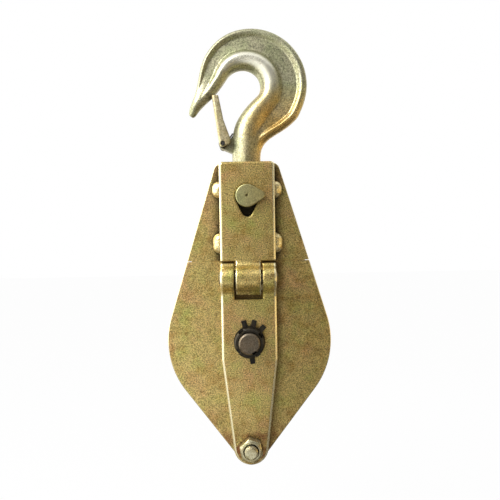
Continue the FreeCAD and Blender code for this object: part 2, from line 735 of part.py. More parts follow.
def latch():
    """Pressed channel: a web on the outside and two flanges round the hook's tip and lug."""
    top = point(LATCH_TOP_X, 0, LATCH_TOP_Z)
    rise = LATCH_TOP_Z - LATCH_PIVOT_Z
    run = LATCH_TOP_X - LATCH_PIVOT_X
    lean = math.degrees(math.atan2(rise, run) + math.acos(LATCH_EYE_RADIUS / math.hypot(run, rise)))
    eye_x, eye_z = on_circle(LATCH_EYE_RADIUS, lean)
    back_low = point(LATCH_PIVOT_X + eye_x, 0, LATCH_PIVOT_Z + eye_z)
    eye_x, eye_z = on_circle(LATCH_EYE_RADIUS, (lean + 270.0) / 2.0)
    eye_middle = point(LATCH_PIVOT_X + eye_x, 0, LATCH_PIVOT_Z + eye_z)
    eye_low = point(LATCH_PIVOT_X, 0, LATCH_PIVOT_Z - LATCH_EYE_RADIUS)
    pivot = point(LATCH_PIVOT_X, 0, LATCH_PIVOT_Z)
    heel = pivot + in_plane(LATCH_HEEL)
    toe = pivot + in_plane(LATCH_TOE)
    belly = pivot + in_plane(LATCH_BELLY)
    nose = top + ALONG_X * LATCH_NOSE_WIDTH
    edges = [
        Part.LineSegment(top, back_low).toShape(),
        Part.Arc(back_low, eye_middle, eye_low).toShape(),
        Part.LineSegment(eye_low, heel).toShape(),
        Part.Arc(heel, pivot + in_plane(LATCH_HEEL_ROUND), toe).toShape(),
        Part.LineSegment(toe, belly).toShape(),
        Part.Arc(belly, pivot + in_plane(LATCH_BELLY_ROUND), nose).toShape(),
        Part.LineSegment(nose, top).toShape(),
    ]
    side = Part.Face(Part.Wire(edges))
    side.translate(point(0, -LATCH_HALF_WIDTH, 0))
    blank = side.extrude(point(0, 2.0 * LATCH_HALF_WIDTH, 0))
    inner_half = LATCH_HALF_WIDTH - LATCH_SHEET
    bend = box_between(point(0, -LATCH_HALF_WIDTH, -BIG), point(BIG, LATCH_HALF_WIDTH, BIG))
    bend = eased(
        bend, LATCH_BEND_RADIUS, lambda edge: edge.BoundBox.XMax < SMALL and edge.BoundBox.ZLength > BIG
    )
    room = box_between(point(LATCH_SHEET, -inner_half, -BIG), point(BIG, inner_half, BIG))
    for shape in (bend, room):
        shape.rotate(point(0, 0, 0), ALONG_Y, 180.0 - lean)
        shape.translate(top)
    lug_room = box_between(point(-BIG, -inner_half, -BIG), point(BIG, inner_half, LATCH_WEB_LOW_Z))
    tip_room = box_between(point(-BIG, -inner_half, LATCH_WEB_TOP_Z), point(BIG, inner_half, BIG))
    pin_hole = rod(
        LATCH_PIN_RADIUS + RUNNING,
        point(LATCH_PIVOT_X, -BIG, LATCH_PIVOT_Z),
        point(LATCH_PIVOT_X, BIG, LATCH_PIVOT_Z),
    )
    return blank.common(bend).cut(room).cut(lug_room).cut(tip_room).cut(pin_hole)


def latch_pin():
    """Hollow rolled pin with the slit that closes as it is driven in."""
    half = LATCH_HALF_WIDTH + LATCH_PIN_PROUD
    start = point(LATCH_PIVOT_X, -half, LATCH_PIVOT_Z)
    end = point(LATCH_PIVOT_X, half, LATCH_PIVOT_Z)
    slit = box_between(
        point(LATCH_PIVOT_X, -BIG, LATCH_PIVOT_Z - LATCH_PIN_SLIT / 2.0),
        point(LATCH_PIVOT_X + BIG, BIG, LATCH_PIVOT_Z + LATCH_PIN_SLIT / 2.0),
    )
    return rod(LATCH_PIN_RADIUS, start, end).cut(rod(LATCH_PIN_RADIUS - LATCH_PIN_WALL, start, end)).cut(slit)


def coil(start_y):
    """One coil round the latch pin with a leg to the hook's neck and a leg to the latch's web."""
    pitch = 2.0 * SPRING_WIRE_RADIUS + SPRING_PLAY
    pivot = point(LATCH_PIVOT_X, 0, LATCH_PIVOT_Z)
    route = [pivot + in_plane(place) + ALONG_Y * start_y for place in SPRING_NECK_LEG]
    for step in range(int(SPRING_TURNS * SPRING_STEPS_A_TURN) + 1):
        share = step / SPRING_STEPS_A_TURN
        x, z = on_circle(SPRING_COIL_RADIUS, -360.0 * share)
        route.append(point(LATCH_PIVOT_X + x, start_y + pitch * share, LATCH_PIVOT_Z + z))
    end_y = start_y + pitch * SPRING_TURNS
    route += [pivot + in_plane(place) + ALONG_Y * end_y for place in SPRING_WEB_LEG]
    curve = Part.BSplineCurve()
    curve.buildFromPoles(route)
    path = Part.Wire(curve.toShape())
    ahead = route[1].sub(route[0])
    quarters = [
        Part.makeCircle(SPRING_WIRE_RADIUS, route[0], ahead, 90.0 * quarter, 90.0 * (quarter + 1))
        for quarter in range(4)
    ]
    return path.makePipeShell([Part.Wire(quarters)], True, False)


def latch_spring():
    """Two coils, one on each side of the lug."""
    near = coil(LUG_HALF_WIDTH + SPRING_WIRE_RADIUS + SPRING_PLAY)
    return Part.makeCompound([near, mirrored_y(near)])


def hook_nut():
    """Castle nut under the crosshead, its slotted crown narrower than the hexagon."""
    crown_top = HOOK_NUT_LOW_Z + CROWN_HEIGHT
    body = hexagon(HOOK_NUT_FLATS, point(0, 0, HOOK_NUT_TOP_Z), point(0, 0, crown_top))
    crown = rod(CROWN_RADIUS, point(0, 0, crown_top), point(0, 0, HOOK_NUT_LOW_Z))
    nut = joined(body, crown).cut(rod(STEM_RADIUS, point(0, 0, -BIG), point(0, 0, 0)))
    for third in range(3):
        slot = box_between(
            point(-BIG, -CROWN_SLOT_WIDTH / 2.0, -BIG),
            point(BIG, CROWN_SLOT_WIDTH / 2.0, HOOK_NUT_LOW_Z + CROWN_SLOT_DEPTH),
        )
        slot.rotate(point(0, 0, 0), ALONG_Z, 60.0 * third)
        nut = nut.cut(slot)
    return nut


def thrust_washer():
    ease = SMALL_CHAMFER
    outline = [
        (STEM_RADIUS, WASHER_TOP_Z),
        (THRUST_WASHER_RADIUS - ease, WASHER_TOP_Z),
        (THRUST_WASHER_RADIUS, WASHER_TOP_Z - ease),
        (THRUST_WASHER_RADIUS, HOOK_NUT_TOP_Z + ease),
        (THRUST_WASHER_RADIUS - ease, HOOK_NUT_TOP_Z),
        (STEM_RADIUS, HOOK_NUT_TOP_Z),
    ]
    return turned(outline, point(0, 0, 0), ALONG_Z)


def cotter_pin():
    """Split pin with its eye at one end and its legs bent round the crown at the other."""
    reach = CROWN_RADIUS + COTTER_WIRE
    start = point(-reach, 0, COTTER_Z)
    end = point(reach, 0, COTTER_Z)
    half_split = COTTER_SPLIT / 2.0
    split = box_between(point(-BIG, -half_split, -BIG), point(CROWN_RADIUS, half_split, BIG))
    eye_centre = end + ALONG_X * COTTER_EYE_RADIUS
    eye = Part.makeTorus(COTTER_EYE_RADIUS, COTTER_WIRE, eye_centre, ALONG_Y)
    pin = rod(COTTER_RADIUS, start, end).cut(split).fuse(eye)
    for side in (-1.0, 1.0):
        bend = start + ALONG_Y * (side * COTTER_WIRE)
        leg = rod(COTTER_WIRE, bend, bend + ALONG_Y * (side * COTTER_LEG_REACH))
        pin = pin.fuse([Part.makeSphere(COTTER_WIRE, bend), leg])
    return pin


def crosshead():
    """Block with the stem's bore, two journals and the teardrop head on the front one."""
    block = box_between(
        point(-BLOCK_HALF_LENGTH, -BLOCK_HALF_WIDTH, CROSSHEAD_Z - BLOCK_HALF_HEIGHT),
        point(BLOCK_HALF_LENGTH, BLOCK_HALF_WIDTH, CROSSHEAD_Z + BLOCK_HALF_HEIGHT),
    )
    block = eased(block, BLOCK_EDGE_RADIUS, lambda edge: edge.BoundBox.YLength > BLOCK_HALF_WIDTH)
    front = rod(
        JOURNAL_RADIUS,
        point(0, -BLOCK_HALF_WIDTH / 2.0, CROSSHEAD_Z),
        point(0, HEAD_UNDERSIDE_Y, CROSSHEAD_Z),
    )
    head = hull_plate(
        [(0, CROSSHEAD_Z, JOURNAL_RADIUS), (LOBE_REACH, CROSSHEAD_Z, LOBE_RADIUS)],
        HEAD_FACE_Y,
        HEAD_UNDERSIDE_Y,
    )
    head = eased(head, HEAD_EDGE_RADIUS, lambda edge: edge.BoundBox.YMax < HEAD_FACE_Y + SMALL)
    dimple = turned(
        [(0, HEAD_DIMPLE_RADIUS), (0, 0), (HEAD_DIMPLE_RADIUS, 0)],
        point(0, HEAD_FACE_Y, CROSSHEAD_Z),
        ALONG_Y,
    )
    groove_end = RING_GROOVE_Y + SNAP_RING_THICKNESS
    groove_radius = JOURNAL_RADIUS - RING_GROOVE_DEPTH
    rear = turned(
        [
            (0, BLOCK_HALF_WIDTH / 2.0),
            (JOURNAL_RADIUS, BLOCK_HALF_WIDTH / 2.0),
            (JOURNAL_RADIUS, RING_GROOVE_Y),
            (groove_radius, RING_GROOVE_Y),
            (groove_radius, groove_end),
            (JOURNAL_RADIUS, groove_end),
            (JOURNAL_RADIUS, REAR_JOURNAL_END_Y - RING_GROOVE_DEPTH),
            (groove_radius, REAR_JOURNAL_END_Y),
            (0, REAR_JOURNAL_END_Y),
        ],
        point(0, 0, CROSSHEAD_Z),
        ALONG_Y,
    )
    bore = rod(STEM_RADIUS + RUNNING, point(0, 0, -BIG), point(0, 0, 0))
    return joined(block, front, head, rear).cut(bore).cut(dimple)


def crosshead_washer():
    outside = JOURNAL_RADIUS + REAR_WASHER_WIDTH
    ease = SMALL_CHAMFER
    outline = [
        (JOURNAL_RADIUS, STRAP_FACE_Y + RUNNING),
        (outside, STRAP_FACE_Y + RUNNING),
        (outside, RING_GROOVE_Y - ease),
        (outside - ease, RING_GROOVE_Y),
        (JOURNAL_RADIUS, RING_GROOVE_Y),
    ]
    return turned(outline, point(0, 0, CROSSHEAD_Z), ALONG_Y)


def crosshead_ring():
    """External retaining ring with a plier hole in each lug."""
    start = RING_GROOVE_Y
    end = start + SNAP_RING_THICKNESS
    inner = JOURNAL_RADIUS - RING_GROOVE_DEPTH
    centre_low = point(0, start, CROSSHEAD_Z)
    centre_high = point(0, end, CROSSHEAD_Z)
    band = rod(inner + RING_WIDTH, centre_low, centre_high)
    holes = []
    for side in (-1.0, 1.0):
        x, z = on_circle(inner + RING_WIDTH, 90.0 + side * PLIER_HOLES_APART_DEG / 2.0)
        low = point(x, start, CROSSHEAD_Z + z)
        high = point(x, end, CROSSHEAD_Z + z)
        band = band.fuse(rod(RING_LUG_RADIUS, low, high))
        holes.append(rod(PLIER_HOLE_RADIUS, low, high))
    gap = box_between(point(-RING_OPENING / 2.0, start, CROSSHEAD_Z), point(RING_OPENING / 2.0, end, 0))
    band = band.cut(rod(inner, centre_low, centre_high)).cut(gap)
    return band.cut(holes[0]).cut(holes[1]).removeSplitter()


def keyway():
    """Slot along the threaded end for the tab washer's inner tab."""
    slot = box_between(
        point(THREAD_RADIUS - KEYWAY_DEPTH, -BIG, -KEYWAY_WIDTH / 2.0),
        point(BIG, -STRAP_FACE_Y, KEYWAY_WIDTH / 2.0),
    )
    slot.rotate(point(0, 0, 0), ALONG_Y, -KEYWAY_ANGLE_DEG)
    slot.translate(point(0, 0, AXLE_Z))
    return slot


def axle():
    outline = [
        (0, AXLE_END_Y),
        (THREAD_RADIUS - AXLE_END_CHAMFER, AXLE_END_Y),
        (THREAD_RADIUS, AXLE_END_Y + AXLE_END_CHAMFER),
        (THREAD_RADIUS, -STRAP_FACE_Y + SMALL_CHAMFER),
        (AXLE_RADIUS, -STRAP_FACE_Y + SMALL_CHAMFER),
        (AXLE_RADIUS, STRAP_FACE_Y),
        (AXLE_HEAD_RADIUS, STRAP_FACE_Y),
        (AXLE_HEAD_RADIUS, STRAP_FACE_Y + AXLE_HEAD_HEIGHT - AXLE_HEAD_CHAMFER),
        (AXLE_HEAD_RADIUS - AXLE_HEAD_CHAMFER, STRAP_FACE_Y + AXLE_HEAD_HEIGHT),
        (0, STRAP_FACE_Y + AXLE_HEAD_HEIGHT),
    ]
    return turned(outline, point(0, 0, AXLE_Z), ALONG_Y).cut(keyway())


def radial_bar(low_radius, high_radius, width, y_low, y_high, degrees):
    """Small bar that points away from the axle at an angle seen from the front."""
    bar = box_between(
        point(low_radius, y_low, -width / 2.0), point(high_radius, y_high, width / 2.0)
    )
    bar.rotate(point(0, 0, 0), ALONG_Y, -degrees)
    bar.translate(point(0, 0, AXLE_Z))
    return bar


def tab_washer():
    front = -STRAP_FACE_Y - TAB_WASHER_THICKNESS
    back = -STRAP_FACE_Y
    disc = rod(TAB_WASHER_RADIUS, point(0, front, AXLE_Z), point(0, back, AXLE_Z))
    disc = disc.cut(rod(THREAD_RADIUS, point(0, front, AXLE_Z), point(0, back, AXLE_Z)))
    pieces = [
        radial_bar(THREAD_RADIUS + SLIDING, TAB_TIP_RADIUS, TAB_WIDTH, front, back, degrees)
        for degrees in FLAT_TAB_ANGLES_DEG
    ]
    key_low = THREAD_RADIUS - KEYWAY_DEPTH + RUNNING
    key_width = KEYWAY_WIDTH - 2.0 * RUNNING
    key_high = THREAD_RADIUS + TAB_WASHER_THICKNESS
    pieces.append(radial_bar(key_low, key_high, key_width, front, back, KEYWAY_ANGLE_DEG))
    upright_low = AXLE_NUT_RADIUS - NUT_SLOT_DEPTH + RUNNING
    tab_top = front - LOCKING_TAB_HEIGHT
    pieces.append(
        radial_bar(upright_low, TAB_WASHER_RADIUS, TAB_WIDTH, tab_top, back, LOCKING_TAB_ANGLE_DEG)
    )
    return joined(disc, *pieces)


def axle_nut():
    back = -STRAP_FACE_Y - TAB_WASHER_THICKNESS
    front = back - AXLE_NUT_HEIGHT
    outline = [
        (THREAD_RADIUS, back),
        (AXLE_NUT_RADIUS - SMALL_CHAMFER, back),
        (AXLE_NUT_RADIUS, back - SMALL_CHAMFER),
        (AXLE_NUT_RADIUS, front + NUT_FACE_CHAMFER),
        (AXLE_NUT_RADIUS - NUT_FACE_CHAMFER, front),
        (THREAD_RADIUS + SMALL_CHAMFER, front),
        (THREAD_RADIUS, front + SMALL_CHAMFER),
    ]
    nut = turned(outline, point(0, 0, AXLE_Z), ALONG_Y)
    for quarter in range(4):
        degrees = LOCKING_TAB_ANGLE_DEG + 90.0 * quarter
        slot_floor = AXLE_NUT_RADIUS - NUT_SLOT_DEPTH
        nut = nut.cut(radial_bar(slot_floor, BIG, NUT_SLOT_WIDTH, front - 1.0, back + 1.0, degrees))
    return nut


def axle_spacer(side):
    """Bush between the bearing's inner ring and a cheek."""
    near = side * BEARING_HALF_WIDTH
    far = side * INNER_FACE_Y
    outline = [
        (AXLE_RADIUS, near),
        (INNER_RING_RADIUS - SMALL_CHAMFER, near),
        (INNER_RING_RADIUS - SMALL_CHAMFER, far),
        (AXLE_RADIUS, far),
    ]
    return turned(outline, point(0, 0, AXLE_Z), ALONG_Y)


def race(radius):
    """Ring that the balls run in, cut from both bearing rings."""
    return Part.makeTorus(BALL_PITCH_RADIUS, radius, point(0, 0, AXLE_Z), ALONG_Y)


def bearing_ring(bore, outside):
    half = BEARING_HALF_WIDTH
    ease = BEARING_EDGE
    outline = [
        (bore, -half + ease),
        (bore + ease, -half),
        (outside - ease, -half),
        (outside, -half + ease),
        (outside, half - ease),
        (outside - ease, half),
        (bore + ease, half),
        (bore, half - ease),
    ]
    return turned(outline, point(0, 0, AXLE_Z), ALONG_Y).cut(race(BALL_RADIUS + RUNNING))


def ball_places():
    for index in range(BALL_COUNT):
        x, z = on_circle(BALL_PITCH_RADIUS, 360.0 * index / BALL_COUNT)
        yield point(x, 0, AXLE_Z + z)


def bearing_balls():
    return Part.makeCompound([Part.makeSphere(BALL_RADIUS, place) for place in ball_places()])


def bearing_cage():
    """Ring with a round pocket for each ball."""
    inside = BALL_PITCH_RADIUS - CAGE_HALF_THICKNESS
    outside = BALL_PITCH_RADIUS + CAGE_HALF_THICKNESS
    outline = [
        (inside, -CAGE_HALF_WIDTH),
        (outside, -CAGE_HALF_WIDTH),
        (outside, CAGE_HALF_WIDTH),
        (inside, CAGE_HALF_WIDTH),
    ]
    cage = turned(outline, point(0, 0, AXLE_Z), ALONG_Y)
    for place in ball_places():
        cage = cage.cut(Part.makeSphere(BALL_RADIUS + 2.0 * RUNNING, place))
    return cage


def bearing_shield(side):
    near = side * (BEARING_HALF_WIDTH - SHIELD_DEPTH - SHIELD_THICKNESS)
    far = side * (BEARING_HALF_WIDTH - SHIELD_DEPTH)
    inside = INNER_RING_RADIUS + 2.0 * RUNNING
    outline = [
        (inside, near),
        (OUTER_RING_BORE, near),
        (OUTER_RING_BORE, far),
        (inside, far),
    ]
    return turned(outline, point(0, 0, AXLE_Z), ALONG_Y)


def sheave_outline_half():
    """Front half of the sheave's section from the groove floor round to the hub bore."""
    centre_radius = GROOVE_FLOOR_RADIUS + GROOVE_RADIUS
    arc_x, arc_z = on_circle(GROOVE_RADIUS, GROOVE_ARC_DEG)
    flank_start = (centre_radius - arc_x, arc_z)
    flank_top = SHEAVE_RADIUS - GROOVE_EDGE
    flank_run = (flank_top - flank_start[0]) / math.tan(math.radians(GROOVE_ARC_DEG))
    flank_end = (flank_top, flank_start[1] + flank_run)
    return flank_start, flank_end


def sheave():
    """Grooved wheel with a thin web and a hub bored for the bearing."""
    flank_start, flank_end = sheave_outline_half()

    def at(radius, along):
        return point(0, along, AXLE_Z + radius)

    edges = []
    floor = at(GROOVE_FLOOR_RADIUS, 0)
    edges.append(Part.Arc(at(flank_start[0], -flank_start[1]), floor, at(*flank_start)).toShape())
    rim_inner = GROOVE_FLOOR_RADIUS - RIM_BACK_DEPTH
    web_outer = rim_inner - RIM_SLOPE
    outline = [
        flank_start,
        flank_end,
        (SHEAVE_RADIUS, flank_end[1] + GROOVE_EDGE),
        (SHEAVE_RADIUS, SHEAVE_HALF_WIDTH - SHEAVE_EDGE),
        (SHEAVE_RADIUS - SHEAVE_EDGE, SHEAVE_HALF_WIDTH),
        (rim_inner, SHEAVE_HALF_WIDTH),
        (web_outer, SHEAVE_WEB_HALF),
        (HUB_RADIUS + HUB_SLOPE, SHEAVE_WEB_HALF),
        (HUB_RADIUS, HUB_HALF_WIDTH - SMALL_CHAMFER),
        (HUB_RADIUS - SMALL_CHAMFER, HUB_HALF_WIDTH),
    ]
    inner = BEARING_OUTER_RADIUS
    front_outline = outline + [(inner, HUB_HALF_WIDTH)]
    corners = [at(radius, -along) for radius, along in front_outline]
    corners += [at(inner, BEARING_HALF_WIDTH)]
    stop = inner - BEARING_STOP
    corners += [at(stop, BEARING_HALF_WIDTH), at(stop, HUB_HALF_WIDTH)]
    corners += [at(radius, along) for radius, along in outline[::-1]]
    for here, following in zip(corners, corners[1:]):
        edges.append(Part.LineSegment(here, following).toShape())
    face = Part.Face(Part.Wire(Part.__sortEdges__(edges)))
    wheel = face.revolve(point(0, 0, AXLE_Z), ALONG_Y, 360)
    groove = turned(
        [
            (stop, -BEARING_HALF_WIDTH - SNAP_GROOVE_WIDTH),
            (inner + SNAP_GROOVE_DEPTH, -BEARING_HALF_WIDTH - SNAP_GROOVE_WIDTH),
            (inner + SNAP_GROOVE_DEPTH, -BEARING_HALF_WIDTH),
            (stop, -BEARING_HALF_WIDTH),
        ],
        point(0, 0, AXLE_Z),
        ALONG_Y,
    )
    return wheel.cut(groove)


def bearing_snap_ring():
    """Internal retaining ring in front of the bearing."""
    outside = BEARING_OUTER_RADIUS + SNAP_GROOVE_DEPTH
    inside = outside - SNAP_RING_WIDTH
    start = point(0, -BEARING_HALF_WIDTH - SNAP_GROOVE_WIDTH, AXLE_Z)
    end = point(0, -BEARING_HALF_WIDTH, AXLE_Z)
    band = rod(outside, start, end).cut(rod(inside, start, end))
    for side in (-1.0, 1.0):
        x, z = on_circle(inside, 90.0 + side * SNAP_HOLES_APART_DEG / 2.0)
        lug = rod(RING_LUG_RADIUS, start + point(x, 0, z), end + point(x, 0, z))
        hole = rod(PLIER_HOLE_RADIUS, start + point(x, 0, z), end + point(x, 0, z))
        band = band.fuse(lug).cut(hole)
    half_gap = SNAP_RING_OPENING / 2.0
    gap = box_between(point(-half_gap, -BIG, AXLE_Z), point(half_gap, BIG, 0))
    return band.cut(gap).removeSplitter()


def bottom_bolt():
    head_start = point(0, STRAP_FACE_Y, TIP_BOLT_Z)
    head = hexagon(BOLT_NUT_FLATS, head_start, head_start + ALONG_Y * BOLT_HEAD_HEIGHT)
    shank = turned(
        [
            (0, BOLT_END_Y),
            (BOLT_RADIUS - BOLT_CHAMFER, BOLT_END_Y),
            (BOLT_RADIUS, BOLT_END_Y + BOLT_CHAMFER),
            (BOLT_RADIUS, STRAP_FACE_Y + BOLT_CHAMFER),
            (0, STRAP_FACE_Y + BOLT_CHAMFER),
        ],
        point(0, 0, TIP_BOLT_Z),
        ALONG_Y,
    )
    return joined(head, shank)


def bottom_nut():
    start = point(0, -STRAP_FACE_Y, TIP_BOLT_Z)
    end = start - ALONG_Y * BOLT_NUT_HEIGHT
    nut = hexagon(BOLT_NUT_FLATS, start, end, BOTTOM_NUT_TURN_DEG)
    depth = BOLT_NUT_COUNTERSINK
    mouth = turned([(0, 0), (BOLT_RADIUS + depth, 0), (BOLT_RADIUS, depth), (0, depth)], end, ALONG_Y)
    return nut.cut(rod(BOLT_RADIUS, start + ALONG_Y, end - ALONG_Y)).cut(mouth)


def bottom_spacer():
    outline = [
        (BOLT_RADIUS, -INNER_FACE_Y),
        (TIP_SPACER_RADIUS, -INNER_FACE_Y),
        (TIP_SPACER_RADIUS, INNER_FACE_Y),
        (BOLT_RADIUS, INNER_FACE_Y),
    ]
    return turned(outline, point(0, 0, TIP_BOLT_Z), ALONG_Y)


def main():
    os.makedirs("parts", exist_ok=True)
    write("hook", hook_body())
    write("hook_nut", hook_nut())
    write("hook_thrust_washer", thrust_washer())
    write("hook_cotter_pin", cotter_pin())
    write("latch", latch())
    write("latch_pin", latch_pin())
    write("latch_spring", latch_spring())
    write("crosshead", crosshead())
    write("crosshead_washer", crosshead_washer())
    write("crosshead_ring", crosshead_ring())
    flap_strap, flap_cheek, lower_strap, lower_cheek = front_plates()
    write("flap_strap", flap_strap)
    write("flap_cheek", flap_cheek)
    write("lower_strap", lower_strap)
    write("lower_cheek", lower_cheek)
    rear_strap, rear_cheek = rear_plates()
    write("rear_strap", rear_strap)
    write("rear_cheek", rear_cheek)
    write("flap_welds", welds())
    write("rear_welds", mirrored_y(welds()))
    write("hinge_pin", hinge_pin())
    write("axle", axle())
    write("axle_tab_washer", tab_washer())
    write("axle_nut", axle_nut())
    write("axle_spacer_front", axle_spacer(-1.0))
    write("axle_spacer_rear", axle_spacer(1.0))
    write("bearing_inner_ring", bearing_ring(AXLE_RADIUS, INNER_RING_RADIUS))
    write("bearing_outer_ring", bearing_ring(OUTER_RING_BORE, BEARING_OUTER_RADIUS))
    write("bearing_balls", bearing_balls())
    write("bearing_cage", bearing_cage())
    write("bearing_shield_front", bearing_shield(-1.0))
    write("bearing_shield_rear", bearing_shield(1.0))
    write("bearing_snap_ring", bearing_snap_ring())
    write("sheave", sheave())
    write("bottom_bolt", bottom_bolt())
    write("bottom_nut", bottom_nut())
    write("bottom_spacer", bottom_spacer())


main()
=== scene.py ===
"""Dresses a single sheave snatch block in plated, forged and blackened steel and lights it.

Lengths are in metres. The block hangs along Z, its opening side faces -Y.
"""

import logging
import math
from dataclasses import dataclass, field, replace
from enum import Enum

import bpy
from mathutils import Matrix, Vector


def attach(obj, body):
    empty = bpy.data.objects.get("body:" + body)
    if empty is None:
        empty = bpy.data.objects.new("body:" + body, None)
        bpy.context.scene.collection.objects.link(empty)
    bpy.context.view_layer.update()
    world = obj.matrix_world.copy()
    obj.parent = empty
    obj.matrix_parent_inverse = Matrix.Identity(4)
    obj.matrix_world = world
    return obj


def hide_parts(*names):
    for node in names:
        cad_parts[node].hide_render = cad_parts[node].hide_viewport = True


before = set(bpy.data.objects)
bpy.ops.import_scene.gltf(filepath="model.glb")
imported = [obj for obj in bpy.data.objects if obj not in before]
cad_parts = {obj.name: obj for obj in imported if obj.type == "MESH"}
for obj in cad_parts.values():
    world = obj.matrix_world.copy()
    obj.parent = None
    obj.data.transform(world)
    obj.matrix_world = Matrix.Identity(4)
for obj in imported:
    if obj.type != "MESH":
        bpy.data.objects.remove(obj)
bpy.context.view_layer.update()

LOG = logging.getLogger("snatch_block")

Colour = tuple[float, float, float]
Place = tuple[float, float, float]
Ground = tuple[float, float]
Span = tuple[float, float]
Socket = bpy.types.NodeSocket

MM = 0.001
WHITE: Colour = (1.0, 1.0, 1.0)
FULL: Span = (0.0, 1.0)
GAP_SAMPLES = 8
EDGE_SAMPLES = 6


def shade(red: int, green: int, blue: int) -> Colour:
    """Turns a screen colour into the linear colour a shader takes, by the usual screen curve.

    Args:
        red: Red from 0 to 255.
        green: Green from 0 to 255.
        blue: Blue from 0 to 255.

    Returns:
        The three linear parts.
    """
    parts = []
    for value in (red, green, blue):
        part = value / 255.0
        parts.append(part / 12.92 if part <= 0.04045 else ((part + 0.055) / 1.055) ** 2.4)
    return tuple(parts)


def around(middle: float, spread: Span) -> Span:
    """Gives the range that reaches below and above a middle value.

    Args:
        middle: The middle value.
        spread: What is added to it at the low and at the high end.

    Returns:
        The range.
    """
    return middle + spread[0], middle + spread[1]


class Axis(Enum):
    """The parts of a place or of a direction."""

    X = 0
    Y = 1
    Z = 2


class Step(Enum):
    """A simple step on one or two values."""

    MULTIPLY = "MULTIPLY"
    SUBTRACT = "SUBTRACT"
    ABSOLUTE = "ABSOLUTE"
    SINE = "SINE"
    MAXIMUM = "MAXIMUM"


class Layer(Enum):
    """The way one colour lies on another."""

    COVER = "MIX"
    TINT = "MULTIPLY"


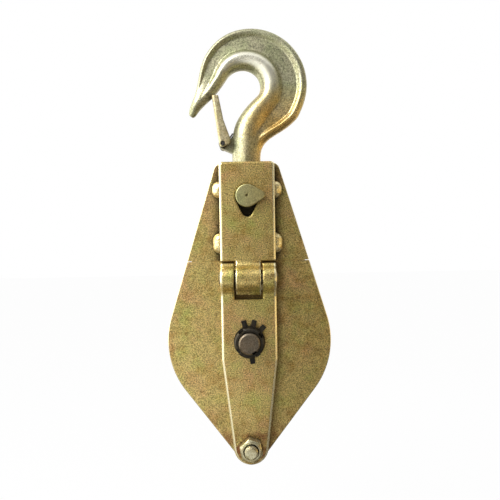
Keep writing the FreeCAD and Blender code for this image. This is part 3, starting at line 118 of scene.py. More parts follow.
class Recipe:
    """A material's node tree, with short calls for the steps a metal finish needs."""

    def __init__(self, name: str) -> None:
        """Starts an empty metal material.

        Args:
            name: The material's name.
        """
        self.material = bpy.data.materials.new(name)
        self.material.use_nodes = True
        self.tree = self.material.node_tree
        self.shader = self.tree.nodes["Principled BSDF"]
        place = self.tree.nodes.new("ShaderNodeTexCoord")
        self.place: Socket = place.outputs["Object"]
        self.facing: Socket = place.outputs["Normal"]

    def shifted(self, shift: Place) -> Socket:
        """Moves the place, so that two patterns of noise don't fall together.

        Args:
            shift: What is added to the place.

        Returns:
            The moved place.
        """
        node = self.tree.nodes.new("ShaderNodeMapping")
        node.inputs["Location"].default_value = shift
        self.tree.links.new(self.place, node.inputs["Vector"])
        return node.outputs["Vector"]

    def noise(self, size: float, detail: float, rough: float, shift: Place | None = None) -> Socket:
        """Makes soft noise from 0 to 1.

        Args:
            size: The size of one patch.
            detail: How many finer layers it has.
            rough: How strong the finer layers are.
            shift: How far the pattern is moved, not at all if left out.

        Returns:
            The noise value.
        """
        node = self.tree.nodes.new("ShaderNodeTexNoise")
        node.inputs["Scale"].default_value = 1.0 / size
        node.inputs["Detail"].default_value = detail
        node.inputs["Roughness"].default_value = rough
        place = self.place if shift is None else self.shifted(shift)
        self.tree.links.new(place, node.inputs["Vector"])
        return node.outputs["Fac"]

    def between(self, value: Socket, span: Span, result: Span = FULL) -> Socket:
        """Maps a value's range to another one and holds it there.

        Args:
            value: The value read.
            span: Start and end of its range.
            result: What the start and the end become.

        Returns:
            The mapped value.
        """
        node = self.tree.nodes.new("ShaderNodeMapRange")
        node.inputs["From Min"].default_value, node.inputs["From Max"].default_value = span
        node.inputs["To Min"].default_value, node.inputs["To Max"].default_value = result
        self.tree.links.new(value, node.inputs["Value"])
        return node.outputs["Result"]

    def worked(self, how: Step, first: Socket, second: Socket | float = 0.0) -> Socket:
        """Takes one simple step.

        Args:
            how: The step.
            first: The first value.
            second: The second value, which a step on one value doesn't read.

        Returns:
            The result.
        """
        node = self.tree.nodes.new("ShaderNodeMath")
        node.operation = how.value
        self.tree.links.new(first, node.inputs[0])
        if isinstance(second, float):
            node.inputs[1].default_value = second
        else:
            self.tree.links.new(second, node.inputs[1])
        return node.outputs["Value"]

    def blended(
        self, share: Socket | float, under: Socket | Colour, over: Socket | Colour, how: Layer = Layer.COVER
    ) -> Socket:
        """Lays one colour over another.

        Args:
            share: How much of the upper colour shows.
            under: The lower colour.
            over: The upper colour, or a value that counts as a grey.
            how: The way it lies there.

        Returns:
            The mixed colour.
        """
        node = self.tree.nodes.new("ShaderNodeMix")
        node.data_type = "RGBA"
        node.blend_type = how.value
        if isinstance(share, float):
            node.inputs["Factor"].default_value = share
        else:
            self.tree.links.new(share, node.inputs["Factor"])
        for name, colour in (("A", under), ("B", over)):
            target = self.colour_socket(node.inputs, name)
            if isinstance(colour, tuple):
                target.default_value = (*colour, 1.0)
            else:
                self.tree.links.new(colour, target)
        return self.colour_socket(node.outputs, "Result")

    def colour_socket(self, sockets: bpy.types.bpy_prop_collection, name: str) -> Socket:
        """Finds the colour socket of that name, as a mix node has one for each type."""
        return next(socket for socket in sockets if socket.name == name and socket.type == "RGBA")

    def part(self, axis: Axis, of: Socket | None = None) -> Socket:
        """Reads one part of the object's own place, or of another vector.

        Args:
            axis: The part.
            of: The vector, the place if left out.

        Returns:
            The part's value.
        """
        node = self.tree.nodes.new("ShaderNodeSeparateXYZ")
        self.tree.links.new(of or self.place, node.inputs["Vector"])
        return node.outputs[axis.value]

    def rounded(self, face: Span, side: Span) -> Socket:
        """Tells the rounds between a plate's faces and its left and right sides.

        Args:
            face: How far sideways a round looks where it leaves the face.
            side: How far sideways it looks where it meets the side.

        Returns:
            1 on a round, 0 on a face or a side.
        """
        sideways = self.worked(Step.ABSOLUTE, self.part(Axis.X, self.facing))
        ends = self.between(sideways, side, (1.0, 0.0))
        return self.worked(Step.MULTIPLY, self.between(sideways, face), ends)

    def openness(self, reach: float, lean: Place | None = None) -> Socket:
        """Tells open faces from those that others lie close to.

        Args:
            reach: How far away another face still counts.
            lean: The way it leans from straight out of the surface, not at all if left out.

        Returns:
            1 in the open, less in a gap or corner.
        """
        node = self.tree.nodes.new("ShaderNodeAmbientOcclusion")
        node.samples = GAP_SAMPLES
        node.inputs["Distance"].default_value = reach
        if lean is not None:
            outward = self.tree.nodes.new("ShaderNodeNewGeometry")
            way = self.tree.nodes.new("ShaderNodeVectorMath")
            way.inputs[1].default_value = lean
            self.tree.links.new(outward.outputs["True Normal"], way.inputs[0])
            self.tree.links.new(way.outputs["Vector"], node.inputs["Normal"])
        return node.outputs["AO"]

    def eased(self, radius: float) -> Socket:
        """Rounds off sharp edges in how they take the light.

        Args:
            radius: The radius of the rounding.

        Returns:
            The bent normal.
        """
        node = self.tree.nodes.new("ShaderNodeBevel")
        node.samples = EDGE_SAMPLES
        node.inputs["Radius"].default_value = radius
        return node.outputs["Normal"]

    def rings(self, axis: Axis, pitch: float) -> Socket:
        """Makes ridges that follow one another along an axis.

        Args:
            axis: The axis they follow.
            pitch: How far apart they are.

        Returns:
            Their height from 0 to 1.
        """
        turn = self.worked(Step.MULTIPLY, self.part(axis), 2.0 * math.pi / pitch)
        return self.between(self.worked(Step.SINE, turn), (-1.0, 1.0))

    def relief(self, height: Socket, depth: float, under: Socket | None = None) -> Socket:
        """Makes a bump of that depth.

        Args:
            height: The height from 0 to 1.
            depth: The depth of its range.
            under: A normal that this bump lies on.

        Returns:
            The bent normal.
        """
        node = self.tree.nodes.new("ShaderNodeBump")
        node.inputs["Distance"].default_value = depth
        node.inputs["Strength"].default_value = 1.0
        self.tree.links.new(height, node.inputs["Height"])
        if under is not None:
            self.tree.links.new(under, node.inputs["Normal"])
        return node.outputs["Normal"]

    def finished(
        self, colour: Socket, roughness: Socket, normal: Socket, metallic: float
    ) -> bpy.types.Material:
        """Links the parts to the shader.

        Args:
            colour: The base colour.
            roughness: The roughness.
            normal: The bent normal.
            metallic: How far it is a metal.

        Returns:
            The material.
        """
        self.shader.inputs["Metallic"].default_value = metallic
        self.tree.links.new(colour, self.shader.inputs["Base Color"])
        self.tree.links.new(roughness, self.shader.inputs["Roughness"])
        self.tree.links.new(normal, self.shader.inputs["Normal"])
        return self.material


@dataclass(frozen=True)
class Patches:
    """Soft patches of noise."""

    size: float
    span: Span = FULL
    share: Span = FULL
    detail: float = 3.0
    rough: float = 0.55
    shift: Place | None = None

    def value(self, mix: Recipe, unit: float = 1.0, share: Span | None = None) -> Socket:
        """Makes the patches.

        Args:
            mix: The recipe they belong to.
            unit: What their size counts in.
            share: What the span's ends become, the patches' own share if left out.

        Returns:
            Their value.
        """
        noise = mix.noise(self.size * unit, self.detail, self.rough, self.shift)
        return mix.between(noise, self.span, share or self.share)


@dataclass(frozen=True)
class Grain:
    """Fine speckle of a blasted or plated skin, in its shade and in its relief."""

    size: float = 0.8 * MM
    dark: float = 0.42
    light: float = 1.54
    depth: float = 0.03 * MM
    span: Span = (0.36, 0.64)
    detail: float = 2.0
    rough: float = 0.7

    def height(self, mix: Recipe) -> Socket:
        """Makes the speckle's height from 0 to 1."""
        return Patches(self.size, self.span, detail=self.detail, rough=self.rough).value(mix)

    def over(self, mix: Recipe, height: Socket, colour: Socket) -> Socket:
        """Lightens and darkens a colour with the speckle.

        Args:
            mix: The recipe it belongs to.
            height: The speckle's height.
            colour: The colour below.

        Returns:
            The speckled colour.
        """
        return mix.blended(1.0, colour, mix.between(height, FULL, (self.dark, self.light)), Layer.TINT)


@dataclass(frozen=True)
class PaintedShade:
    """Painted shade that darkens a colour where faces lie close together, in the gaps and corners where shade
    falls.
    """

    reach: float = 7 * MM
    colour: Colour = shade(34, 28, 18)
    strength: float = 0.9
    starts: float = 0.8
    full: float = 0.35
    # With a lean the darkening falls on one side only: a painted cast shadow, as from a light in the way it
    # leans.
    lean: Place | None = None

    def over(self, mix: Recipe, colour: Socket) -> Socket:
        """Lays the painted shade over a colour.

        Args:
            mix: The recipe it belongs to.
            colour: The colour below.

        Returns:
            The shaded colour.
        """
        openness = mix.openness(self.reach, self.lean)
        share = mix.between(openness, (self.full, self.starts), (self.strength, 0.0))
        return mix.blended(share, colour, self.colour)


@dataclass(frozen=True)
class Chromate:
    """Yellow chromate on zinc, with rose and green patches and a fine grain; rounded edges can be brightened,
    partly edge wear and partly painted highlight, and gaps and corners get painted shade.
    """

    name: str
    gold: Colour = shade(201, 179, 113)
    rose: Colour = shade(206, 164, 114)
    green: Colour = shade(184, 181, 101)
    deep: Colour = shade(170, 134, 70)
    patch: float = 22 * MM
    rose_patches: Patches = Patches(1.0, (0.48, 0.74), detail=2.0)
    green_patches: Patches = Patches(0.8, (0.48, 0.76), detail=2.0, shift=(3.0, 5.0, 7.0))
    deep_patches: Patches = Patches(0.35, (0.46, 0.75), (0.0, 0.8), rough=0.6)
    dull_patches: Patches = Patches(0.4, (0.3, 0.7))
    grain: Grain = Grain()
    painted_shade: PaintedShade = PaintedShade()
    roughness: float = 0.31
    spread: Span = (-0.05, 0.05)
    metallic: float = 0.8
    edge: float = 1.3 * MM
    wear_and_highlight: Colour = shade(255, 246, 206)
    wear_and_highlight_share: float = 0.0
    wear_and_highlight_gloss: float = 0.16
    round_at_face: Span = (0.04, 0.14)
    round_at_side: Span = (0.97, 0.998)
    stain: Colour = shade(128, 78, 48)
    stain_patches: Patches = Patches(7 * MM, (0.38, 0.62), (0.1, 0.9))
    stained: Span | None = None
    thread_pitch: float = 0.0
    thread_depth: float = 0.35 * MM

    def plated(self, mix: Recipe) -> Socket:
        """Makes the plating's patchy colour, with its stain where it has one.

        Args:
            mix: The recipe it belongs to.

        Returns:
            The colour.
        """
        colour = mix.blended(self.rose_patches.value(mix, self.patch), self.gold, self.rose)
        colour = mix.blended(self.green_patches.value(mix, self.patch), colour, self.green)
        colour = mix.blended(self.deep_patches.value(mix, self.patch), colour, self.deep)
        if self.stained:
            stained = mix.between(mix.part(Axis.Z), self.stained)
            share = mix.worked(Step.MULTIPLY, stained, self.stain_patches.value(mix))
            colour = mix.blended(share, colour, self.stain)
        return colour

    def material(self) -> bpy.types.Material:
        """Makes the plated material.

        Returns:
            The material.
        """
        mix = Recipe(self.name)
        height = self.grain.height(mix)
        colour = self.grain.over(mix, height, self.plated(mix))
        roughness = self.dull_patches.value(mix, self.patch, around(self.roughness, self.spread))
        # Rounded edges take a near-white, glossier colour: partly edge wear, partly a painted highlight.
        if self.wear_and_highlight_share:
            rounded = mix.rounded(self.round_at_face, self.round_at_side)
            wear_and_highlight = mix.worked(Step.MULTIPLY, rounded, self.wear_and_highlight_share)
            colour = mix.blended(wear_and_highlight, colour, self.wear_and_highlight)
            gloss = mix.between(wear_and_highlight, FULL, (0.0, self.wear_and_highlight_gloss))
            roughness = mix.worked(Step.SUBTRACT, roughness, gloss)
        # Painted shade in gaps and corners.
        colour = self.painted_shade.over(mix, colour)
        normal = mix.relief(height, self.grain.depth, mix.eased(self.edge))
        if self.thread_pitch:
            normal = mix.relief(mix.rings(Axis.Y, self.thread_pitch), self.thread_depth, normal)
        return mix.finished(colour, roughness, normal, self.metallic)


@dataclass(frozen=True)
class ForgedSkin:
    """A forging's soft, slightly pitted skin under pale zinc, warmer towards one side, with its front crests
    brightened, partly wear and partly painted highlight, and painted shade in its creases.
    """

    name: str
    silver: Colour = shade(166, 162, 134)
    green: Colour = shade(160, 162, 126)
    green_patches: Patches = Patches(13 * MM, (0.42, 0.66), shift=(9.0, 2.0, 4.0))
    gold: Colour = shade(202, 168, 98)
    warm_side: Span = (-6 * MM, 12 * MM)
    warm_below: Span = (2 * MM, -24 * MM)
    warm_patches: Patches = Patches(18 * MM, (0.3, 0.6), (0.4, 1.0))
    warm_glint: Span = (0.55, 0.95)
    warm_gloss: float = 0.14
    wear_and_highlight: Colour = shade(250, 247, 228)
    wear_and_highlight_share: float = 0.95
    wear_and_highlight_gloss: float = 0.14
    crest: Span = (7 * MM, 10 * MM)
    crest_above: Span = (-8 * MM, 14 * MM)
    crest_beside: Span = (-24 * MM, -6 * MM)
    crest_fades: Span = (0.25, 1.0)
    grain: Grain = Grain(1.0 * MM, 0.5, 1.5, 0.035 * MM)
    painted_shade: PaintedShade = PaintedShade(5 * MM, shade(92, 74, 36), 0.6, 0.84, 0.4)
    dull_patches: Patches = Patches(18 * MM, (0.3, 0.7))
    roughness: float = 0.4
    spread: Span = (-0.05, 0.07)
    dents: Patches = Patches(9 * MM, detail=2.0)
    dents_depth: float = 0.15 * MM
    metallic: float = 0.75

    def warmth(self, mix: Recipe) -> Socket:
        """Tells where the zinc has gone golden, low on the right.

        Args:
            mix: The recipe it belongs to.

        Returns:
            1 where it is all gold, 0 where it is pale.
        """
        beside = mix.between(mix.part(Axis.X), self.warm_side)
        warm = mix.worked(Step.MULTIPLY, beside, mix.between(mix.part(Axis.Z), self.warm_below))
        return mix.worked(Step.MULTIPLY, warm, self.warm_patches.value(mix))

    def crests(self, mix: Recipe) -> Socket:
        """Tells the raised front crests that are painted bright, partly wear where the load rubs and partly a
        painted highlight that fades towards the left.

        Args:
            mix: The recipe it belongs to.

        Returns:
            How much wear and painted highlight it takes, from 0 to 1.
        """
        depth = mix.worked(Step.ABSOLUTE, mix.part(Axis.Y))
        raised = mix.between(depth, self.crest, (0.0, self.wear_and_highlight_share))
        raised = mix.worked(Step.MULTIPLY, raised, mix.between(mix.part(Axis.Z), self.crest_above))
        fade = mix.between(mix.part(Axis.X), self.crest_beside, self.crest_fades)
        return mix.worked(Step.MULTIPLY, raised, fade)

    def material(self) -> bpy.types.Material:
        """Makes the forged material.

        Returns:
            The material.
        """
        mix = Recipe(self.name)
        warm = self.warmth(mix)
        raised = self.crests(mix)
        height = self.grain.height(mix)
        colour = mix.blended(self.green_patches.value(mix), self.silver, self.green)
        colour = mix.blended(warm, colour, self.gold)
        # Wear and painted highlight on the front crests.
        colour = mix.blended(raised, self.grain.over(mix, height, colour), self.wear_and_highlight)
        # Painted shade in the creases and corners.
        colour = self.painted_shade.over(mix, colour)
        roughness = self.dull_patches.value(mix, share=around(self.roughness, self.spread))
        gloss = mix.between(raised, FULL, (0.0, self.wear_and_highlight_gloss))
        roughness = mix.worked(Step.SUBTRACT, roughness, gloss)
        glint = mix.between(warm, self.warm_glint, (0.0, self.warm_gloss))
        roughness = mix.worked(Step.SUBTRACT, roughness, glint)
        normal = mix.relief(height, self.grain.depth, mix.relief(self.dents.value(mix), self.dents_depth))
        return mix.finished(colour, roughness, normal, self.metallic)


@dataclass(frozen=True)
class Blackened:
    """Black oxide with brown cast, rubbed lighter in places."""

    name: str
    black: Colour = shade(46, 45, 40)
    brown: Colour = shade(66, 60, 50)
    brown_patches: Patches = Patches(6 * MM, (0.4, 0.65))
    wear_and_highlight: Colour = shade(120, 114, 98)
    rubbed_patches: Patches = Patches(3 * MM, (0.6, 0.8), detail=5.0, rough=0.7)
    wear_and_highlight_share: float = 0.2
    roughness: float = 0.36
    spread: Span = (-0.05, 0.08)
    grain: Grain = Grain(0.9 * MM, 0.7, 1.3, 0.03 * MM)
    metallic: float = 0.8

    def material(self) -> bpy.types.Material:
        """Makes the blackened material.

        Returns:
            The material.
        """
        mix = Recipe(self.name)
        height = self.grain.height(mix)
        colour = mix.blended(self.brown_patches.value(mix), self.black, self.brown)
        wear_and_highlight = self.rubbed_patches.value(mix, share=(0.0, self.wear_and_highlight_share))
        colour = self.grain.over(mix, height, mix.blended(wear_and_highlight, colour, self.wear_and_highlight))
        roughness = mix.between(height, FULL, around(self.roughness, self.spread))
        return mix.finished(colour, roughness, mix.relief(height, self.grain.depth), self.metallic)


@dataclass(frozen=True)
class Turned:
    """A turned surface with fine marks that run round one axis, and painted shade in gaps and corners."""

    name: str
    steel: Colour = shade(188, 184, 172)
    stain: Colour = shade(150, 138, 112)
    stain_patches: Patches = Patches(7 * MM, (0.42, 0.7), detail=4.0, rough=0.6)
    axis: Axis = Axis.Y
    marks: float = 0.5 * MM
    marks_depth: float = 0.02 * MM
    speck: Patches = Patches(0.7 * MM, detail=2.0, rough=0.7)
    speck_depth: float = 0.02 * MM
    speck_span: Span = (0.3, 0.7)
    painted_shade: PaintedShade = PaintedShade(strength=0.6)
    roughness: float = 0.3
    spread: Span = (-0.05, 0.08)
    metallic: float = 0.95

    def material(self) -> bpy.types.Material:
        """Makes the turned material.

        Returns:
            The material.
        """
        mix = Recipe(self.name)
        speck = self.speck.value(mix)
        # Painted shade where other faces lie close.
        colour = self.painted_shade.over(mix, mix.blended(self.stain_patches.value(mix), self.steel, self.stain))
        roughness = mix.between(speck, self.speck_span, around(self.roughness, self.spread))
        rings = mix.rings(self.axis, self.marks)
        normal = mix.relief(rings, self.marks_depth, mix.relief(speck, self.speck_depth))
        return mix.finished(colour, roughness, normal, self.metallic)


Finish = Chromate | ForgedSkin | Blackened | Turned


@dataclass
class Finishes:
    """The finishes the block's pieces share."""

    # The darkening near other faces in these finishes is painted shade; bright rounded edges and crests are
    # partly wear, partly painted highlight.
    strap: Chromate = Chromate(
        "plated_strap", wear_and_highlight_share=0.95, edge=2.2 * MM, stained=(-258 * MM, -274 * MM),
        grain=Grain(0.9 * MM, 0.38, 1.62, 0.03 * MM),
        painted_shade=PaintedShade(4 * MM, strength=0.9, starts=0.6, full=0.24),
    )
    # The flap cheek's strong painted shade darkens it beside the strap and between the welds.
    flap_cheek: Chromate = Chromate(
        "plated_flap_cheek", wear_and_highlight_share=0.6, edge=0.25 * MM,
        painted_shade=PaintedShade(10 * MM, shade(24, 22, 14), 0.97, 0.93, 0.5),
    )
    # The cheeks' painted shade leans to the upper left: a painted cast shadow on the right of each strap.
    cheek: Chromate = Chromate(
        "plated_cheek", wear_and_highlight_share=0.6, edge=0.25 * MM, stained=(-244 * MM, -292 * MM),
        painted_shade=PaintedShade(12 * MM, shade(70, 50, 20), 0.9, 0.62, 0.2, lean=(-0.9, 0.0, 0.5)),
    )
    weld: Chromate = Chromate(
        "plated_weld", gold=shade(244, 230, 180), rose=shade(226, 200, 132), green=shade(224, 216, 160),
        deep=shade(180, 140, 66), patch=5 * MM, roughness=0.24, grain=Grain(2.6 * MM, 0.9, 1.12, 0.22 * MM),
        painted_shade=PaintedShade(strength=0.3),
    )
    fastener: Chromate = Chromate(
        "plated_fastener", gold=shade(206, 200, 166), rose=shade(200, 182, 140), green=shade(192, 192, 146),
        deep=shade(150, 134, 92), patch=8 * MM, roughness=0.2, grain=Grain(0.8 * MM, 0.8, 1.15, 0.012 * MM),
        painted_shade=PaintedShade(4 * MM),
    )
    bolt: Chromate = replace(fastener, name="plated_bolt", roughness=0.26, thread_pitch=1.5 * MM)
    pressed: Chromate = Chromate(
        "plated_sheet", gold=shade(200, 188, 152), rose=shade(192, 170, 128), green=shade(180, 172, 126),
        deep=shade(132, 118, 82), patch=7 * MM, roughness=0.32, grain=Grain(0.9 * MM, 0.66, 1.3, 0.02 * MM),
    )
    wheel: Chromate = Chromate(
        "plated_wheel", gold=shade(200, 180, 122), rose=shade(202, 170, 124), green=shade(188, 182, 118),
        patch=20 * MM, roughness=0.3, grain=Grain(0.9 * MM, 0.82, 1.15, 0.012 * MM),
    )
    forged: ForgedSkin = ForgedSkin("forged_zinc")
    # The crosshead's deep painted shade darkens what shows of it inside the slot.
    head: ForgedSkin = ForgedSkin(
        "forged_crosshead", silver=shade(168, 164, 118), green=shade(160, 160, 110), gold=shade(170, 152, 98),
        wear_and_highlight_share=0.0, roughness=0.38, grain=Grain(1.0 * MM, 0.66, 1.26, 0.03 * MM),
        painted_shade=PaintedShade(14 * MM, strength=0.97),
    )
    black: Blackened = Blackened("black_oxide")
    axle: Blackened = Blackened(
        "axle_steel", black=shade(104, 96, 82), brown=shade(120, 106, 88), wear_and_highlight=shade(150, 142, 124),
        wear_and_highlight_share=0.4, roughness=0.34, grain=Grain(1.0 * MM, 0.6, 1.3, 0.05 * MM),
    )
    spring: Blackened = Blackened(
        "spring_steel", black=shade(72, 72, 70), brown=shade(84, 78, 68), roughness=0.34
    )
    bearing: Turned = Turned("bearing_steel")
    pin: Turned = Turned("pin_steel", steel=shade(150, 144, 124), stain=shade(120, 108, 80), axis=Axis.X)
    made: dict[str, bpy.types.Material] = field(default_factory=dict)

    def of(self, finish: Finish) -> bpy.types.Material:
        """Looks up a finish's material and makes it the first time.

        Args:
            finish: The finish.

        Returns:
            Its material.
        """
        if finish.name not in self.made:
            self.made[finish.name] = finish.material()
        return self.made[finish.name]


def wear(piece: bpy.types.Object, material: bpy.types.Material) -> None:
    """Gives a piece that material and no other."""
    piece.data.materials.clear()
    piece.data.materials.append(material)


class SubAssembly:
    """A group of the block's pieces that are dressed together."""

    def dress(self, finishes: Finishes) -> None:
        """Gives each piece its finish.

        Args:
            finishes: The block's finishes.
        """
        for node, finish in self.pieces(finishes).items():
            wear(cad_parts[node], finishes.of(finish))
            LOG.info("%s wears %s", node, finish.name)

    def pieces(self, finishes: Finishes) -> dict[str, Finish]:
        """Names the finish of each piece."""
        raise NotImplementedError


@dataclass
class LoadHook(SubAssembly):
    """The forged hook with its nut, washer and split pin."""

    def pieces(self, finishes: Finishes) -> dict[str, Finish]:
        """Names the finish of each piece."""
        return {
            "hook": finishes.forged, "hook_nut": finishes.fastener, "hook_thrust_washer": finishes.bearing,
            "hook_cotter_pin": finishes.spring,
        }


@dataclass(frozen=True)
class TorsionSpring:
    """The latch's spring: a coil on each side of the lug, split where its wire turns with the latch."""

    pivot: Ground = (-18.6 * MM, -46.2 * MM)
    wire_radius: float = 0.6 * MM
    sleeve: float = 0.02 * MM
    coil_radius: float = 2.7 * MM
    coil_start: float = 4.8 * MM
    pitch: float = 1.4 * MM
    turns: float = 1.5
    steps: int = 12
    shared_steps: int = 2
    neck_leg: tuple[Span, ...] = ((8.1 * MM, 8.5 * MM), (4.4 * MM, 3.4 * MM))
    web_leg: tuple[Span, ...] = ((-2.2 * MM, 4.0 * MM), (-1.1 * MM, 9.0 * MM), (-1.75 * MM, 14.0 * MM))
    curve_order: int = 4
    curve_steps: int = 6
    wire_facets: int = 4

    def place(self, offset: Span, along: float) -> Vector:
        """Gives the place that far from the pivot, along the pin."""
        return Vector((self.pivot[0] + offset[0], along, self.pivot[1] + offset[1]))

    def last_step(self) -> int:
        """Gives the number of the coil's last step."""
        return int(self.turns * self.steps)

    def coil(self, first: int) -> list[Vector]:
        """Gives the coil's control points from one step to its end.

        Args:
            first: The number of the first step.

        Returns:
            The points.
        """
        points = []
        for step in range(first, self.last_step() + 1):
            share = step / self.steps
            angle = -2.0 * math.pi * share
            offset = (self.coil_radius * math.cos(angle), self.coil_radius * math.sin(angle))
            points.append(self.place(offset, self.coil_start + self.pitch * share))
        return points

    def on_hook(self) -> list[Vector]:
        """Gives the route of the leg on the hook's neck and the coil."""
        return [self.place(offset, self.coil_start) for offset in self.neck_leg] + self.coil(0)

    def on_latch(self) -> list[Vector]:
        """Gives the route of the coil's last steps and the leg on the latch's web.

        Returns:
            Its control points.
        """
        along = self.coil_start + self.pitch * self.turns
        leg = [self.place(offset, along) for offset in self.web_leg]
        return self.coil(self.last_step() - self.shared_steps) + leg

    def wire(self, name: str, route: list[Vector], radius: float) -> bpy.types.Object:
        """Draws the wire along a route and along its mirror image.

        Args:
            name: The piece's name.
            route: Its control points.
            radius: The wire's radius.

        Returns:
            The piece.
        """
        curve = bpy.data.curves.new(name, "CURVE")
        curve.dimensions = "3D"
        curve.bevel_depth = radius
        curve.bevel_resolution = self.wire_facets
        curve.use_fill_caps = True
        for side in (1.0, -1.0):
            spline = curve.splines.new("NURBS")
            spline.points.add(len(route) - 1)
            for point, place in zip(spline.points, route):
                point.co = (place.x, side * place.y, place.z, 1.0)
            spline.order_u = self.curve_order
            spline.use_endpoint_u = True
            spline.resolution_u = self.curve_steps
            spline.use_smooth = True
        drawn = bpy.data.objects.new(name + "_line", curve)
        mesh = bpy.data.meshes.new_from_object(drawn)
        bpy.data.objects.remove(drawn)
        piece = bpy.data.objects.new(name, mesh)
        bpy.context.scene.collection.objects.link(piece)
        return piece

    def build(self, material: bpy.types.Material) -> None:
        """Builds both parts of the spring and lets each ride with what it leans on.

        Args:
            material: Their finish.
        """
        parts = (
            ("spring_coils", self.on_hook(), self.wire_radius, "hook"),
            ("spring_web_legs", self.on_latch(), self.wire_radius + self.sleeve, "latch"),
        )
        for name, route, radius, body in parts:
            piece = self.wire(name, route, radius)
            wear(piece, material)
            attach(piece, body)
            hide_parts("latch_spring")
            LOG.info("%s is wound", name)


@dataclass
class SafetyLatch(SubAssembly):
    """The pressed latch with its rolled pin and spring."""

    spring: TorsionSpring = TorsionSpring()

    def dress(self, finishes: Finishes) -> None:
        """Gives each piece its finish and winds the spring."""
        super().dress(finishes)
        self.spring.build(finishes.of(finishes.spring))

    def pieces(self, finishes: Finishes) -> dict[str, Finish]:
        """Names the finish of each piece."""
        return {"latch": finishes.pressed, "latch_pin": finishes.spring, "latch_spring": finishes.spring}


@dataclass
class Crosshead(SubAssembly):
    """The crosshead with its teardrop head, rear washer and ring."""

    def pieces(self, finishes: Finishes) -> dict[str, Finish]:
        """Names the finish of each piece."""
        return {
            "crosshead": finishes.head, "crosshead_washer": finishes.fastener,
            "crosshead_ring": finishes.spring,
        }


@dataclass
class FoldingFlap(SubAssembly):
    """The hinged half of the front side plate."""

    def pieces(self, finishes: Finishes) -> dict[str, Finish]:
        """Names the finish of each piece."""
        return {
            "flap_strap": finishes.strap, "flap_cheek": finishes.flap_cheek, "flap_welds": finishes.weld,
        }


@dataclass
class SideFrame(SubAssembly):
    """The fixed side plates with the hinge pin and the bottom bolt."""

    def pieces(self, finishes: Finishes) -> dict[str, Finish]:
        """Names the finish of each piece."""
        return {
            "lower_strap": finishes.strap, "lower_cheek": finishes.cheek, "rear_strap": finishes.strap,
            "rear_cheek": finishes.cheek, "rear_welds": finishes.weld, "hinge_pin": finishes.pin,
            "bottom_bolt": finishes.bolt, "bottom_nut": finishes.fastener,
            "bottom_spacer": finishes.fastener,
        }


@dataclass
class AxleSet(SubAssembly):
    """The axle with its slotted nut, tab washer and bushes."""

    def pieces(self, finishes: Finishes) -> dict[str, Finish]:
        """Names the finish of each piece."""
        return {
            "axle": finishes.axle, "axle_tab_washer": finishes.black, "axle_nut": finishes.black,
            "axle_spacer_front": finishes.fastener, "axle_spacer_rear": finishes.fastener,
        }


@dataclass
class BallBearing(SubAssembly):
    """The sheave's shielded ball bearing and its retaining ring."""

    def pieces(self, finishes: Finishes) -> dict[str, Finish]:
        """Names the finish of each piece."""
        return {
            "bearing_inner_ring": finishes.bearing, "bearing_outer_ring": finishes.bearing,
            "bearing_balls": finishes.bearing, "bearing_cage": finishes.fastener,
            "bearing_shield_front": finishes.bearing, "bearing_shield_rear": finishes.bearing,
            "bearing_snap_ring": finishes.spring,
        }


@dataclass
class RopeSheave(SubAssembly):
    """The grooved wheel."""

    def pieces(self, finishes: Finishes) -> dict[str, Finish]:
        """Names the finish of each piece."""
        return {"sheave": finishes.wheel}


@dataclass(frozen=True)
class Lamp:
    """A square soft light that looks at one place."""

    name: str
    place: Place
    size: float
    watts: float
    colour: Colour = WHITE
    target: Place = (0.0, 0.0, -0.13)

    def hang(self) -> None:
        """Makes the light."""
        data = bpy.data.lights.new(self.name, "AREA")
        data.shape = "SQUARE"
        data.size = self.size
        data.energy = self.watts
        data.color = self.colour
        lamp = bpy.data.objects.new(self.name, data)
        bpy.context.scene.collection.objects.link(lamp)
        lamp.location = self.place
        looks = Vector(self.target) - Vector(self.place)
        lamp.rotation_euler = looks.to_track_quat("-Z", "Y").to_euler()


@dataclass(frozen=True)
class Card:
    """A plain card beside the block that metal reflects, out of the picture."""

    name: str
    corners: tuple[Place, ...]
    colour: Colour
    glow: float = 0.0

    def stand(self) -> None:
        """Makes the card, which only reflections show."""
        mesh = bpy.data.meshes.new(self.name)
        mesh.from_pydata(self.corners, [], [(0, 1, 2, 3)])
        card = bpy.data.objects.new(self.name, mesh)
        bpy.context.scene.collection.objects.link(card)
        paint = bpy.data.materials.new(self.name)
        paint.use_nodes = True
        shader = paint.node_tree.nodes["Principled BSDF"]
        shader.inputs["Base Color"].default_value = (*self.colour, 1.0)
        shader.inputs["Roughness"].default_value = 1.0
        shader.inputs["Emission Color"].default_value = (*self.colour, 1.0)
        shader.inputs["Emission Strength"].default_value = self.glow
        mesh.materials.append(paint)
        card.visible_camera = False
        card.visible_shadow = False
        card.visible_diffuse = False


# Heights and ground places where the cards begin and end.
CARD_FOOT = -0.41
CARD_TOP = 0.9
WARM_TOP = -0.1
GOLD_TOP = -0.05
LEFT_BACK: Ground = (-1.0, 1.0)
LEFT_FRONT: Ground = (-1.0, -0.3)
FRONT_LEFT: Ground = (-0.7, -0.7)
FRONT_INNER: Ground = (-0.2, -0.95)
FRONT_MIDDLE: Ground = (0.0, -0.95)
FRONT_RIGHT: Ground = (0.36, -0.752)
RIGHT_FRONT: Ground = (1.0, -0.4)
RIGHT_BACK: Ground = (0.8, 1.0)
BACK_LEFT: Ground = (-0.8, 1.0)


def upright(start: Ground, end: Ground, low: float = CARD_FOOT, high: float = CARD_TOP) -> tuple[Place, ...]:
    """Gives the corners of an upright card.

    Args:
        start: Where it starts on the ground.
        end: Where it ends on the ground.
        low: Its lower edge.
        high: Its upper edge.

    Returns:
        Its four corners.
    """
    return (*start, low), (*end, low), (*end, high), (*start, high)


def flat(start: Ground, end: Ground, level: float = CARD_FOOT) -> tuple[Place, ...]:
    """Gives the corners of a lying card.

    Args:
        start: One corner.
        end: The opposite corner.
        level: Its height.

    Returns:
        Its four corners.
    """
    return (*start, level), (end[0], start[1], level), (*end, level), (start[0], end[1], level)


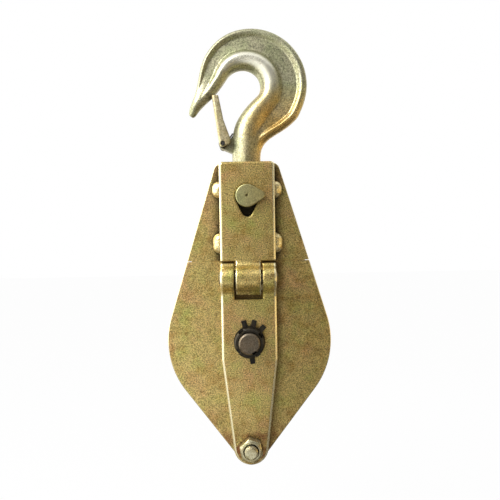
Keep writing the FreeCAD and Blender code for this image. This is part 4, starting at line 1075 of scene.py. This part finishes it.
@dataclass
class Studio:
    """The floor, the pale surroundings, the lamps and the camera."""

    floor_z: float = -0.42
    floor_half: float = 6.0
    floor_paint: Colour = (0.9, 0.9, 0.9)
    floor_seen: float = 0.965
    surround: float = 0.55
    camera_place: Place = (1.6 * MM, -435 * MM, -131 * MM)
    roll_degrees: float = -1.0
    focal_pixels: float = 538.0
    picture_pixels: float = 500.0
    sensor: float = 36.0
    lamps: tuple[Lamp, ...] = (
        Lamp("key", (-0.46, -0.44, 0.42), 0.42, 7.5),
        Lamp("fill", (0.5, -0.6, 0.1), 0.25, 0.06, (1.0, 0.86, 0.6)),
        Lamp("back", (0.25, 0.7, 0.35), 0.6, 1.2),
    )
    cards: tuple[Card, ...] = (
        Card("left_card", upright(LEFT_BACK, LEFT_FRONT), shade(252, 250, 240), 2.4),
        Card("left_front_card", upright(LEFT_FRONT, FRONT_LEFT), shade(252, 250, 240), 1.5),
        Card("grey_card", upright(FRONT_INNER, FRONT_MIDDLE), shade(200, 196, 184)),
        Card("dark_card", upright(FRONT_MIDDLE, FRONT_RIGHT), shade(40, 32, 14)),
        Card("dark_side_card", upright(FRONT_RIGHT, RIGHT_FRONT, low=WARM_TOP), shade(40, 32, 14)),
        Card("warm_side_card", upright(FRONT_RIGHT, RIGHT_FRONT, high=WARM_TOP), shade(226, 196, 132), 0.35),
        Card("side_card", upright(RIGHT_FRONT, RIGHT_BACK, low=GOLD_TOP), shade(226, 216, 190)),
        Card("gold_card", upright(RIGHT_FRONT, RIGHT_BACK, high=GOLD_TOP), shade(244, 214, 146), 0.55),
        Card("back_card", upright(RIGHT_BACK, BACK_LEFT), shade(252, 248, 236), 0.5),
        Card("right_floor_card", flat((0.03, -0.95), (1.0, 1.0)), shade(84, 74, 52)),
        Card("low_card", flat((-0.5, -0.22), (0.03, 1.0)), shade(144, 132, 100)),
    )

    def light_path(self, tree: bpy.types.NodeTree) -> Socket:
        """Tells the rays that show the background from the rays that light the block.

        Args:
            tree: The node tree it is for.

        Returns:
            1 for camera, glossy and transmission rays, 0 for the rest.
        """
        path = tree.nodes.new("ShaderNodeLightPath")
        seen: Socket = path.outputs["Is Camera Ray"]
        for ray in ("Is Glossy Ray", "Is Transmission Ray"):
            most = tree.nodes.new("ShaderNodeMath")
            most.operation = Step.MAXIMUM.value
            tree.links.new(seen, most.inputs[0])
            tree.links.new(path.outputs[ray], most.inputs[1])
            seen = most.outputs["Value"]
        return seen

    def surroundings(self) -> None:
        """Makes the world white to the eye and plainer as a light."""
        world = bpy.data.worlds.new("surroundings")
        bpy.context.scene.world = world
        world.use_nodes = True
        tree = world.node_tree
        shader = tree.nodes["Background"]
        shader.inputs["Color"].default_value = (*WHITE, 1.0)
        level = tree.nodes.new("ShaderNodeMapRange")
        level.inputs["To Min"].default_value = self.surround
        level.inputs["To Max"].default_value = 1.0
        tree.links.new(self.light_path(tree), level.inputs["Value"])
        tree.links.new(level.outputs["Result"], shader.inputs["Strength"])

    def floor(self) -> None:
        """Lays the pale floor, nearly white to the eye but for the shadow on it."""
        half = self.floor_half
        corners = flat((-half, -half), (half, half), self.floor_z)
        mesh = bpy.data.meshes.new("floor")
        mesh.from_pydata(corners, [], [(0, 1, 2, 3)])
        floor = bpy.data.objects.new("floor", mesh)
        bpy.context.scene.collection.objects.link(floor)
        paint = bpy.data.materials.new("floor")
        paint.use_nodes = True
        tree = paint.node_tree
        matt = tree.nodes["Principled BSDF"]
        matt.inputs["Base Color"].default_value = (*self.floor_paint, 1.0)
        matt.inputs["Roughness"].default_value = 1.0
        glow = tree.nodes.new("ShaderNodeEmission")
        share = tree.nodes.new("ShaderNodeMapRange")
        share.inputs["To Max"].default_value = self.floor_seen
        mix = tree.nodes.new("ShaderNodeMixShader")
        tree.links.new(self.light_path(tree), share.inputs["Value"])
        tree.links.new(share.outputs["Result"], mix.inputs["Fac"])
        tree.links.new(matt.outputs["BSDF"], mix.inputs[1])
        tree.links.new(glow.outputs["Emission"], mix.inputs[2])
        tree.links.new(mix.outputs["Shader"], tree.nodes["Material Output"].inputs["Surface"])
        mesh.materials.append(paint)

    def camera(self) -> None:
        """Sets the camera straight before the opening side."""
        data = bpy.data.cameras.new("camera")
        data.sensor_width = self.sensor
        data.lens = self.focal_pixels / self.picture_pixels * self.sensor
        camera = bpy.data.objects.new("camera", data)
        bpy.context.scene.collection.objects.link(camera)
        level = Matrix.Rotation(math.radians(90), 4, "X")
        roll = Matrix.Rotation(math.radians(self.roll_degrees), 4, "Z")
        camera.matrix_world = Matrix.Translation(self.camera_place) @ level @ roll
        bpy.context.scene.camera = camera

    def build(self) -> None:
        """Builds the whole studio."""
        self.surroundings()
        self.floor()
        for lamp in self.lamps:
            lamp.hang()
        for card in self.cards:
            card.stand()
        self.camera()
        bpy.context.scene.view_settings.view_transform = "Standard"
        LOG.info("studio stands")


def main() -> None:
    """Dresses each sub-assembly in order and builds the studio."""
    logging.basicConfig(level=logging.INFO, format="%(name)s: %(message)s")
    finishes = Finishes()
    groups = (
        LoadHook(), SafetyLatch(), Crosshead(), FoldingFlap(), SideFrame(), AxleSet(), BallBearing(),
        RopeSheave(),
    )
    for group in groups:
        group.dress(finishes)
    Studio().build()


if __name__ == "__main__":
    main()
